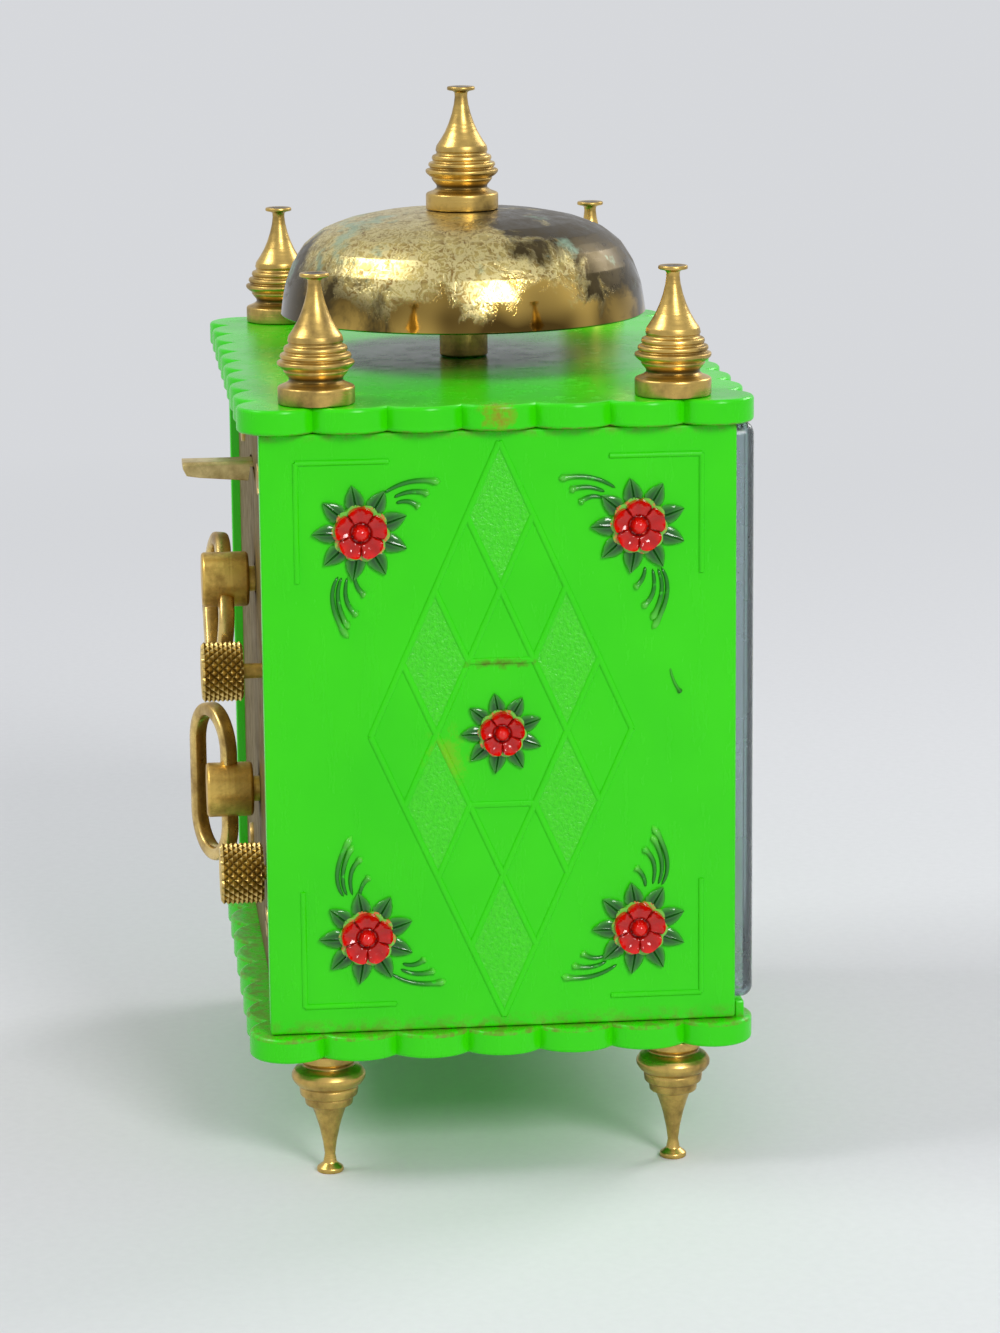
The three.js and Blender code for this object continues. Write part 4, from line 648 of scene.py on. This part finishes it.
def numeral(text, size, at):
    """A number in the plain built-in letters: its outline is made a mesh, set with its middle on
    its place, and raised 0.04 mm off the dial as a film of ink."""
    curve = bpy.data.curves.new("numeral", "FONT")
    curve.body, curve.size, curve.extrude = text, size, 0.02
    holder = bpy.data.objects.new("numeral", curve)
    mesh = bpy.data.meshes.new_from_object(holder)
    mesh.calc_loop_triangles()
    points = np.empty(len(mesh.vertices) * 3)
    faces = np.empty(len(mesh.loop_triangles) * 3, int)
    mesh.vertices.foreach_get("co", points)
    mesh.loop_triangles.foreach_get("vertices", faces)
    bpy.data.objects.remove(holder)
    bpy.data.meshes.remove(mesh)
    points = points.reshape(-1, 3)
    points += np.array([*at, dial_face + 0.02]) - (points.min(0) + points.max(0)) / 2
    return joined(points, 0), faces.reshape(-1, 3)


# Printed ink: a thin black film, satin, and a little greyer where it is thin.
ink = mottled("black_printing_ink", ("#0E0E10", "#2B2A2A"), 1500.0, 3.0, Roughness=0.45, IOR=1.5)
rays = circle(1, 60)[:, ::-1]  # the minutes, clockwise from twelve
fives = np.arange(60) % 5 == 0
marks = []
for ticks, start, half_width in ((rays[fives], 23.4, 0.2), (rays[~fives], 24.3, 0.07)):
    tick_skin = ridges(ticks * start, ticks * 25.2, half_width, 0.03)
    marks.append(moved(tick_skin, place=(0, 0, dial_face)))
section = np.array([(0, -0.01), (0.14, -0.01), (0.14, 0.02), (0, 0.02)])
marks += [turned(section + (r, dial_face), 96, True) for r in (24.2, 25.2)]
marks += [numeral(str(hour or 12), 5.6, rays[hour * 5] * 20.6) for hour in range(12)]
piece("dial_numbers", marks, ink, "dial_enamel", **dial_at)

# Hands. Thin stamped blades with a collar that is pressed on to its pipe, lacquered black and
# shown at ten past ten, with the alarm at six.
black = ("#0C0C0E", "#1E1D1D")
gloss = {"IOR": 1.5, "Coat_Weight": 0.5}
# Black lacquer: a deep gloss that shows the hand as one dark shape, with a few hazy patches.
lacquer = mottled("black_lacquered_steel", black, 800.0, 4.0, (0.15, 0.35), (0.00001, 0.4), **gloss)


def blade(start, end, shares, widths):
    """A blade's outline: up its right side from start to end and down its left, with its half
    width eased between the widths at the shares of its length."""
    t = np.linspace(0, 1, 25)
    k = np.clip(np.searchsorted(shares, t) - 1, 0, len(shares) - 2)
    lo, hi = np.array(shares)[k], np.array(shares)[k + 1]
    ease = (1 - np.cos(math.pi * (t - lo) / (hi - lo))) / 2
    half = np.array(widths)[k] * (1 - ease) + np.array(widths)[k + 1] * ease
    along = start + (end - start) * t
    return np.vstack([np.column_stack([half, along]), np.column_stack([-half, along])[::-1]])


for name, length, half, tail, face, hole, angle in (
    ("minute", 22.0, 1.0, 4.0, 24.3, 1.15, 60),
    ("hour", 14.5, 1.3, 3.4, 23.85, 1.7, 305),
    ("alarm", 10.0, 0.6, 3.6, 23.2, 2.35, 180),
):
    c, s = math.cos(math.radians(angle)), math.sin(math.radians(angle))
    clockwise = np.array([(c, -s), (s, c)])
    start, back = hole + 0.3, face - 0.25
    fore = blade(start, length, (0, 0.5, 0.9, 1), (0.32 * half, half, 0.3 * half, 0.12 * half))
    rear = blade(-max(tail, hole + 1.2), -start, (0, 0.4, 1), (0.7 * half, half, 0.35 * half))
    edge, crest = rounded_edge(back, face, 0.04, 2), face + 0.06
    collar = [(0.1, back), (0.85, back), (0.9, face - 0.2), (0.85, face), (0.5, crest), (0.1, crest)]
    skins = moulded(fore @ clockwise, edge) + moulded(rear @ clockwise, edge)
    skins.append(turned(np.array(collar) + (hole, 0), 40, True))
    piece(name + "_hand_stamped", skins, lacquer, "black_lacquer", name + "_hand", name + "_hand", **dial_at)

# The clear front: a shallow box moulded in acrylic, open at the back, that stands on the sill and
# laps over the front edges of the side panels. Its lower front edge is well rounded. Clear plastic
# lets the lamps reach the dial, so it hardly stops a shadow ray. Its side walls are hazed, and their
# blue grey tint is a painted reflection of darker, bluish surroundings.
acrylic = finish("clear_moulded_acrylic")
where = add(acrylic, "TexCoord", give="Object")
haze = add(acrylic, "TexNoise", where, Scale=120.0, Detail=5.0, Roughness=0.6)
worn = add(acrylic, "MapRange", haze, 0.4, 0.75, 0.0, 0.06)
side = add(acrylic, "SeparateXYZ", where, give="X")
side = add(acrylic, "Math", side, operation="ABSOLUTE")
side = add(acrylic, "MapRange", side, 0.0332, 0.035, 0.0, 1.0)
worn = add(acrylic, "Math", side, 0.26, worn, operation="MULTIPLY_ADD")
# On the side walls the colour turns blue grey: painted reflection.
tint_and_side_reflection = add(acrylic, "Mix", side, "#F2F6F7", "#A2B6BF", data_type="RGBA")
scratch = add(acrylic, "Mapping", where, Scale=(4000.0, 4000.0, 120.0))
scratch = add(acrylic, "TexNoise", scratch, Scale=1.0, Detail=2.0)
bump = add(acrylic, "Bump", Height=scratch, Distance=0.000004, Strength=0.25)
shadow = add(acrylic, "LightPath", give="Is Shadow Ray")
passing = add(acrylic, "Math", shadow, -0.85, 1.0, operation="MULTIPLY_ADD")
shader = {"Base_Color": tint_and_side_reflection, "Roughness": worn, "IOR": 1.49, "Transmission_Weight": 0.96}
add(acrylic, "BsdfPrincipled", Alpha=passing, Normal=bump, **shader)
curl = np.linspace(math.pi / 2, 0, 8)
walls = [
    *np.column_stack([1.2 * (1 - np.cos(curl)), 25.0 + 1.2 * np.sin(curl)]),
    (0, 24.27), (1.0, 24.27), (1.0, 24.9), (1.1, 25.12), (1.35, 25.2),
]
tray = moulded(box_outline(-front_u, front_u, -29.55, 31.15, 1.5, 9), walls)
piece("clear_front_moulded", tray, acrylic, "clear_acrylic", "crystal", **dial_at)

# Back plate. Rolled brass, browned with age and darker still as painted shade, pierced for the
# shafts and the stop lever, and held to the movement's pillars by four slotted screws.
BACK = np.array([(1, 0, 0), (0, 0, 1), (0, 1, 0)])
time_z, alarm_z, stop_z = 33.4, 57.0, 50.5  # the two winding arbors and the stop lever's arbor
knob_x, hand_set_z, alarm_set_z = -13.6, 27.4, 49.6
# Browned sheet: dull, with faint upright lines, and darkened further as painted shade and dark
# reflection, so that the bright keys and knobs stand out on it.
aged_and_shaded_sheet = brass("brass_rolled_sheet_aged_and_shaded", "#7C6A3A", "#62522E", (3000.0, 250.0, 120.0), 0.5)
spread = math.radians(11) + 1.95 / 19.4
arc = way(np.linspace(math.pi / 2 - spread, math.pi / 2 + spread, 13))
slot = np.vstack([arc * 20.0, arc[::-1] * 18.8]) + (0, stop_z)
holes = [circle(1.7, 24, (0, z)) for z in (time_z, alarm_z)]
holes += [circle(1.1, 20, (knob_x, z)) for z in (hand_set_z, alarm_set_z)]
plate_edge = rounded_edge(plate_face, 23.2, 0.12, 3)
plate = moulded(box_outline(-sheet_u, sheet_u, 15.9, 78.3, 0.6), plate_edge, holes + [slot])
piece("back_plate_pierced", plate, aged_and_shaded_sheet, "sheet_brass", "back_plate", turn=BACK)


def slotted_head(radius, low, top, turn):
    """A cheese head: a thin disc, and on it two parts of a disc with the slot between them."""
    half_slot = 0.28
    reach = math.acos(half_slot / radius)
    half = way(np.linspace(-reach, reach, 15)) * radius
    turn = np.array([(math.cos(turn), math.sin(turn)), (-math.sin(turn), math.cos(turn))])
    edge = [(0, low), (0, top - 0.15), (0.05, top - 0.05), (0.16, top)]
    floor = moulded(circle(radius - 0.02), [(0, low), (0, low + 0.15)])
    return floor + moulded(half @ turn, edge) + moulded(-half @ turn, edge)


heads = []
for x, turn in ((-18.2, 0.4), (18.2, 1.3)):
    for z in (23.2, 71.0):
        heads += [moved(skin, place=(x, z, 0)) for skin in slotted_head(1.7, 23.12, 23.6, turn + z)]
piece("back_plate_screws", heads, movement_brass, "sheet_brass", turn=BACK)

# Winding keys. Each is a hub turned from brass bar on the end of its arbor, whose ratchet wheel is
# inside the case, and a cast ring that folds about the limb in the hub's cross hole.
# Turned lengthwise: fine rings run round the hub, so its highlight is a soft band along it.
hub_brass = brass("brass_turned_lengthwise", "#EAC468", "#8E6A30", (90.0, 4200.0, 90.0), 0.26)
# Cast and tumbled: smooth and bright all over, with a soft unevenness.
ring_brass = brass("brass_cast_and_tumbled", "#EACB7C", "#8E6C38", (700.0, 700.0, 700.0), 0.18)


def toothed(radii, shares, count, phase=0.0):
    """A wheel's outline: each tooth has its points at these radii and these shares of the pitch."""
    angle = phase + (np.arange(count)[:, None] + np.array(shares)) * 2 * math.pi / count
    return (way(angle) * np.array(radii)[:, None]).reshape(-1, 2)


def oval_ring(half_length, radius, half_limb, half_thickness):
    """A section carried round a stadium: two half circles set apart by the half length. The section
    is an oblong whose corners follow the fourth power. One limb passes through the middle."""
    angle = np.concatenate([np.linspace(0, math.pi, 33), np.linspace(math.pi, 2 * math.pi, 33)])
    apart = np.repeat([half_length, -half_length], 33)
    turn = circle(1, 20).T
    square = (np.sign(turn) * np.abs(turn) ** 0.5)[:, None, :, None]
    middle = np.stack([radius + 0 * apart, apart], -1)
    flat = way(angle)[:, None] * (radius + half_limb * square[0]) + middle[:, None]
    return grid(joined(flat, half_thickness * square[1]), True)


def bored(made, cutter):
    """Meant to take the cutter's shape out of the piece. The cutter's faces point inwards, so that
    this only draws the hole's outline and the piece stays solid. Turning them would cut the hole."""
    tool = put_in("cutter", plain_mesh("cutter", cutter[0], cutter[1].tolist()))
    cut = made.modifiers.new("bore", "BOOLEAN")
    cut.operation, cut.solver, cut.object = "DIFFERENCE", "EXACT", tool
    spent = (tool.data, made.data)
    made.data = bpy.data.meshes.new_from_object(made.evaluated_get(bpy.context.evaluated_depsgraph_get()))
    made.modifiers.clear()
    made.data.set_sharp_from_angle(angle=math.radians(32))
    bpy.data.objects.remove(tool)
    for mesh in spent:
        bpy.data.meshes.remove(mesh)


cross_y, cross_hole = 26.5, 1.24  # the cross hole's station behind the clock's middle, and radius
ratchet_low, ratchet_high = 17.4, 18.1
hub_profile = [(0, 23.9), (2.75, 23.9), (3.0, 24.15), (3.0, 28.78), (2.8, 29.0), (0.35, 29.0), (0, 28.85)]
arbor_profile = [(0, -15.45), (0.5, -15.45), (0.5, -14.25), (1.4, -14.25), (1.4, 24.0), (0, 24.0)]
for name, z, fold, turn in (("time_key", time_z, 69, 0), ("alarm_key", alarm_z, 81, 51)):
    f, t = math.radians(fold), math.radians(turn)
    across = (math.sin(f) * math.cos(t), math.cos(f), -math.sin(f) * math.sin(t))
    along = (math.sin(t), 0, math.cos(t))
    at = {"turn": BACK, "place": (0, 0, z)}
    hub = [turned(eased(hub_profile, 0.06), 72)]
    hub = piece(name + "_hub_turned", hub, hub_brass, "turned_brass", name + "_hub", name, **at)
    drill = turned([(0, -4), (cross_hole, -4), (cross_hole, 4), (0, 4)], 40)
    bored(hub, moved(drill, np.array([(along[2], 0, -along[0]), (0, 1, 0), along]), (0, cross_y, z)))
    arbor = moulded(toothed((3.6, 2.6), (0, 1 / 6), 12), [(0, ratchet_low), (0, ratchet_high)])
    arbor.insert(0, turned(arbor_profile, 32))
    piece(name + "_arbor", arbor, hub_brass, "turned_brass", None, name, **at)
    at = {"turn": np.array([across, along, np.cross(across, along)]), "place": (0, cross_y, z), "sharp": 50}
    ring = [oval_ring(half_length=3.9, radius=4.3, half_limb=0.75, half_thickness=0.85)]
    piece(name + "_ring_cast", ring, ring_brass, "turned_brass", name + "_ring", name + "_ring", **at)

# Setting knobs. Brass, diamond-knurled on a lathe and pressed on to their shafts, which run through
# to a small pinion in the motion work. The alarm's knob stands further out.
# Knurled: each small facet catches the light by itself, and the grooves between are brown.
knurl_brass = brass("brass_knurled", "#F4D684", "#BC9A4C", (300.0, 300.0, 300.0), 0.18)


def knurled(radius, low, high):
    """Round the knob by angle and along it by rows: two families of grooves, 20 round and 4 along,
    cross each other, and the radius falls by 0.42 mm from the middle of each diamond to its groove.
    Each quad is split along the groove that runs through it."""
    fine, wide, long, deep, crest = 6, 20, 4, 0.45, 0.94
    i, j = np.indices((long * fine + 1, wide * fine))
    ridge = [1 - np.abs(2 * ((j + k * i) / fine % 1) - 1) for k in (1, -1)]
    lift = np.minimum(np.minimum(*ridge) * 1.06, crest)
    angle = j * 2 * math.pi / (wide * fine)
    out = radius - deep * (crest - lift)
    up = low + 0.3 + (high - low - 0.6) * i / (long * fine)
    rows = np.stack([out * np.cos(angle), out * np.sin(angle), up, 0.5 * (1 - lift / crest)], -1)
    bevel, dish = radius - 0.42, high - 0.1
    caps = np.array([
        (0, low, 0.2), (bevel, low, 0.2),
        (bevel, high, 0), (radius - 0.7, high, 0), (radius - 0.9, dish, 0.2), (0, dish, 0),
    ])
    rings = joined(caps[:, None, :1] * circle(1, wide * fine), caps[:, None, 1:])
    points, quads = grid(np.concatenate([rings[:2], rows, rings[2:]]))
    a, b, c, d = quads.T
    row, column = a // (wide * fine) - 2, a % (wide * fine)
    rising = ((column - row) % fine == 0)[:, None]
    first = np.where(rising, np.column_stack([a, b, c]), np.column_stack([a, b, d]))
    second = np.where(rising, np.column_stack([a, c, d]), np.column_stack([b, c, d]))
    return points, np.vstack([first, second])


for name, z, radius, low, high, pinion_low, count, module, phase in (
    ("hand_set_knob", hand_set_z, 3.3, 23.6, 28.2, -18.2, 8, 0.75, -6.61284),
    ("alarm_set_knob", alarm_set_z, 3.2, 25.3, 29.7, -21.4, 7, 0.98707, 15.44382),
):
    at = {"turn": BACK, "place": (knob_x, 0, z)}
    skins = [knurled(radius, low, high)]
    piece(name + "_knurled", skins, knurl_brass, "turned_brass", name, name, sharp=24, **at)
    pitch_radius = count * module / 2
    root, tip = pitch_radius - 1.3 * module, pitch_radius + 0.9 * module
    teeth = toothed((root, tip, root), (-0.36, 0, 0.36), count, phase)
    shaft = [turned([(0, pinion_low), (0.8, pinion_low), (0.8, low + 0.1), (0, low + 0.1)], 28)]
    shaft += moulded(teeth, [(0, pinion_low), (0, pinion_low + 1.1)])
    piece(name + "_shaft", shaft, hub_brass, "turned_brass", None, name, **at)

# Stop lever. One strip of sheet brass, bent round the alarm arbor inside the case. Its tab comes
# out through the slot, with the side towards the knobs turned down for the finger.
# Bent and handled sheet: pale and bright, as fingers keep it, with marks along its length.
tab_brass = brass("brass_sheet_bent_and_handled", "#E8D092", "#9A8048", (900.0, 160.0, 900.0), 0.26)
stop_at = {"turn": BACK, "place": (0, 0, stop_z)}
arm = np.array([
    (0.9, 0), (0.9, 0.9), (-4.3, 4.225), (-4.3, 9.425), (1.65, 17.9), (1.65, 19.65), (-1.65, 19.65),
    (-1.65, 18.8), (-6.1, 9.425), (-6.1, 4.225), (-0.9, -0.9), (0.9, -0.9),
])
lever = moulded(arm, [(0.08, 16.0), (0, 16.08), (0, 16.52), (0.08, 16.6)])
eye = [(0, 14.65), (0.5, 14.65), (0.5, 16.0), (1.1, 16.0), (1.1, 16.75), (0.9, 16.85), (0, 16.85)]
lever.append(turned(eye, 32))
piece("stop_lever_arm", lever, tab_brass, "sheet_brass", None, "stop_lever", **stop_at)


def bent_tab():
    """Across the tab and out along it: a section like an L, 0.6 mm thick with a rounded bend, is
    carried outwards. Its turned-down side starts outside the case, 2.1 mm deep, and runs up to
    1.5 mm near the tip, where the corner is cut off."""
    along = np.array([16.0, 16.0, 23.45, 23.5, 23.75, 25, 27, 29, 30.0, 30.4, 30.65, 30.8, 30.8])[:, None]
    low = 19.7 - np.interp(along, [23.5, 23.75, 29.4, 30.4, 30.8], [0.6, 2.1, 1.65, 1.45, 0.66])
    bend = np.linspace(0, math.pi / 2, 6)
    u = [1.57, 1.65, 1.65, 1.57, -0.97, -1.05, -1.05, -1.13, -1.57, -1.65]
    u = np.array([*u, *(-1.2 - 0.45 * np.cos(bend))])
    v = np.array([19.7, 19.62, 19.18, 19.1, 19.1, 19.04, *(-1,) * 4, *(19.25 + 0.45 * np.sin(bend))])
    v = np.where(v > 0, v, low + np.array([0, 0, 0, 0, 0, 0, 0.08, 0, 0, 0.08, 0, 0, 0, 0, 0, 0]))
    v[:, 5:6] = np.maximum(v[:, 5:6], low + 0.08)
    points = np.stack([u + 0 * v, v, along + 0 * v], -1)
    points[[0, -1]] = points[[0, -1]].mean(1, keepdims=True)
    return grid(points)


piece("stop_lever_tab", [bent_tab()], tab_brass, "sheet_brass", "stop_lever", "stop_lever", **stop_at)

# The bell and its post. Spun from brass sheet and polished, then left for decades: still bright
# round its rim, crinkled and pale above that, slate brown at the front and the rear edge, partly
# tarnish and partly painted dark reflection, with verdigris high on the rear, and dark inside as
# painted shade. The post screws to the top plate, and the finial is the bell's nut.
bell_z = 85.8
bell_brass = finish("brass_spun_with_old_patina")
where = add(bell_brass, "TexCoord", give="Object")
centred = add(bell_brass, "Mapping", where, Location=(0.0, -axis_y, -bell_z / 1000))
drift = add(bell_brass, "TexNoise", where, Scale=170.0, Detail=6.0, Roughness=0.62, Distortion=0.5)
drift = add(bell_brass, "MapRange", drift, 0.3, 0.7, -0.3, 0.3)
# Each mask rises along its slope, per metre, from its start to its end.
masks = []
for slope, start, end in (
    ((0, 0, 91), 0.26, 0.46),
    ((0, -46, 73), 0.76, 1.0),
    ((0, 51, -36), 0.5, 0.74),
    ((0, 41, 64), 0.9, 1.15),
):
    mask = add(bell_brass, "VectorMath", centred, slope, operation="DOT_PRODUCT")
    mask = add(bell_brass, "Math", mask, drift, operation="ADD")
    masks.append(add(bell_brass, "MapRange", mask, start, end, 0.0, 1.0))
# The front and rear masks are partly tarnish and partly painted dark reflection on the bell's sides.
crinkled, front_slate_and_reflection, rear_slate_and_reflection, high_rear = masks
tarnish_and_dark_reflection = add(bell_brass, "Math", front_slate_and_reflection, rear_slate_and_reflection, operation="MAXIMUM")
worm = add(bell_brass, "TexNoise", where, Scale=950.0, Detail=3.0, Roughness=0.6, Distortion=1.2)
worm = add(bell_brass, "Math", worm, 0.5, 0.06, operation="COMPARE")
mottle = add(bell_brass, "TexNoise", where, Scale=620.0, Detail=6.0, Roughness=0.72)
brown = add(bell_brass, "MapRange", mottle, 0.42, 0.66, 0.0, 1.0)
crust = add(bell_brass, "Mix", brown, "#C8B46E", "#846A3C", data_type="RGBA")
pale = add(bell_brass, "Math", worm, 0.5, operation="MULTIPLY")
crust = add(bell_brass, "Mix", pale, crust, "#F0E4A8", data_type="RGBA")
dim = add(bell_brass, "TexNoise", where, Scale=75.0, Detail=2.0, Roughness=0.5)
dim = add(bell_brass, "MapRange", dim, 0.42, 0.6, 0.0, 1.0)
rim_tone = add(bell_brass, "Mix", dim, "#D8B45E", "#5A4620", data_type="RGBA")
tone = add(bell_brass, "Mix", crinkled, rim_tone, crust, data_type="RGBA")
slate_and_dark_reflection = add(bell_brass, "Mix", mottle, "#342C1A", "#5C4E2E", data_type="RGBA")
tone = add(bell_brass, "Mix", tarnish_and_dark_reflection, tone, slate_and_dark_reflection, data_type="RGBA")
spots = add(bell_brass, "TexNoise", where, Scale=230.0, Detail=5.0, Roughness=0.6, give="Color")
spots = add(bell_brass, "SeparateXYZ", spots, give="Z")
bloom = add(bell_brass, "Math", high_rear, 0.12, spots, operation="MULTIPLY_ADD")
bloom = add(bell_brass, "MapRange", bloom, 0.62, 0.74, 0.0, 0.7)
bloom = add(bell_brass, "Math", bloom, crinkled, operation="MULTIPLY")
tone = add(bell_brass, "Mix", bloom, tone, "#86A68C", data_type="RGBA")
# The inside of the bell is made dark brown and rougher: painted shade under the bell.
shaded_inside = add(bell_brass, "Attribute", attribute_name="groove", give="Fac")
tone = add(bell_brass, "Mix", shaded_inside, tone, "#3E3220", data_type="RGBA")
metallic = add(bell_brass, "Math", bloom, -0.8, 1.0, operation="MULTIPLY_ADD")
worn = add(bell_brass, "MapRange", mottle, 0.35, 0.65, 0.26, 0.42)
worn = add(bell_brass, "Mix", crinkled, 0.09, worn)
worn = add(bell_brass, "Math", shaded_inside, 0.3, worn, operation="MULTIPLY_ADD")
relief = add(bell_brass, "Math", mottle, 0.6, worm, operation="MULTIPLY_ADD")
relief = add(bell_brass, "Math", relief, crinkled, operation="MULTIPLY")
smooth = add(bell_brass, "Math", 1.0, tarnish_and_dark_reflection, operation="SUBTRACT")
relief = add(bell_brass, "Math", relief, smooth, operation="MULTIPLY")
bump = add(bell_brass, "Bump", Height=relief, Distance=0.0001, Strength=0.5)
add(bell_brass, "BsdfPrincipled", Base_Color=tone, Metallic=metallic, Roughness=worn, Normal=bump)

bell_profile = np.array([
    (19.75, 0), (19.5, 2.2), (18.9, 4.4), (17.9, 6.5), (16.4, 8.3), (14.0, 9.6), (11.0, 10.4),
    (7.5, 10.9), (3.7, 11.05), (1.3, 11.05),
])
bell_wall, bell_bore = 0.9, 1.3
lining = np.maximum(bell_profile - bell_wall, (bell_bore, 0))
outside, lining = eased(bell_profile, 1.6, 4), eased(lining, 1.6, 4)
rim = [(19.62, 0), (19.75, 0.15), (18.85, 0.15), (18.98, 0)]
section = np.vstack([rim[:2], outside[1:], lining[:0:-1], rim[2:]])
shell = [turned(section, 144, True)]
piece("bell_spun", shell, bell_brass, "bell_brass", "bell", place=(0, 0, bell_z), sharp=50)

post_profile = [
    (0, -2.6), (1.4, -2.6), (1.4, 0.05), (2.45, 0.05), (2.6, 0.2), (2.6, 14.7), (2.5, 14.8),
    (1.1, 14.8), (1.1, 15.85), (0, 15.85),
]
post = [turned(eased(post_profile, 0.08), 48)]
post_z, nut_z = top_z + plate_thickness, 96.92
piece("bell_post_turned", post, turned_brass, "turned_brass", "bell_post", place=(0, 0, post_z))
at = {"place": (0, 0, nut_z), "sharp": 40}
piece("bell_finial_turned", finial, turned_brass, "turned_brass", "bell_finial", **at)

# The studio: a matt pale paper floor that runs back out of sight, three soft lamps above the clock, a
# pale room round it, and the camera at the photograph's place.
paper = finish("pale_paper_floor")
room = finish("pale_room", "World")
bpy.context.scene.world = room
direct = []
for owner in (paper, room):
    seen = add(owner, "LightPath", give="Is Camera Ray")
    for kind in ("Is Glossy Ray", "Is Transmission Ray"):
        seen = add(owner, "Math", seen, add(owner, "LightPath", give=kind), operation="MAXIMUM")
    direct.append(seen)
where = add(paper, "TexCoord", give="Object")
fibre = add(paper, "TexNoise", where, Scale=900.0, Detail=3.0)
tone = add(paper, "Mix", fibre, "#D6D7D9", "#DDDEE0", data_type="RGBA")
card = add(paper, "BsdfPrincipled", Base_Color=tone, Roughness=0.8)
far = add(paper, "VectorMath", where, operation="LENGTH")
far = add(paper, "MapRange", far, 0.17, 0.45, 0.0, 1.0)
far = add(paper, "Math", far, direct[0], operation="MULTIPLY")
glow = add(paper, "Emission", "#F2F4F8", 0.76)
add(paper, "MixShader", far, card, glow)
mesh = bpy.data.meshes.new("studio_floor")
mesh.from_pydata([(-8, -8, 0), (8, -8, 0), (8, 8, 0), (-8, 8, 0)], [], [(0, 1, 2, 3)])
mesh.materials.append(paper)
put_in("studio_floor", mesh)
add(room, "Background", "#F2F4F8", add(room, "MapRange", direct[1], 0.0, 1.0, 0.46, 0.76))

# Lamps: metres from the clock's middle, side of the square, and power.
for name, place, side, power in (
    ("lamp_front", (-0.68, -0.24, 0.42), 0.24, 3.4),
    ("lamp_rear", (-0.04, 0.56, 0.66), 0.34, 3.0),
    ("lamp_dial", (0.36, -0.58, 0.42), 0.3, 2.0),
):
    lamp = bpy.data.lights.new(name, "AREA")
    lamp.size, lamp.energy = side, power
    made = put_in(name, lamp)
    made.location = (place[0], place[1], place[2] + 0.05)
    made.rotation_euler = Vector(place).to_track_quat("Z", "Y").to_euler()

# The camera's place and turn were found by matching the plates' and panels' corners.
pitch, yaw, roll = 0.211, -0.105, -0.009
ahead = Vector((math.cos(pitch) * math.cos(yaw), math.cos(pitch) * math.sin(yaw), -math.sin(pitch)))
right = ahead.cross((0, 0, 1)).normalized()
up = right.cross(ahead)
right, up = right * math.cos(roll) + up * math.sin(roll), up * math.cos(roll) - right * math.sin(roll)
lens = bpy.data.cameras.new("camera")
lens.lens, lens.sensor_width, lens.clip_start, lens.clip_end = 111.94, 36, 0.01, 50
camera = put_in("camera", lens)
camera.matrix_world = Matrix((right, up, -ahead)).transposed().to_4x4()
camera.location = (-0.4453, 0.0410, 0.1422)
bpy.context.scene.camera = camera
bpy.context.scene.view_settings.view_transform = "Standard"
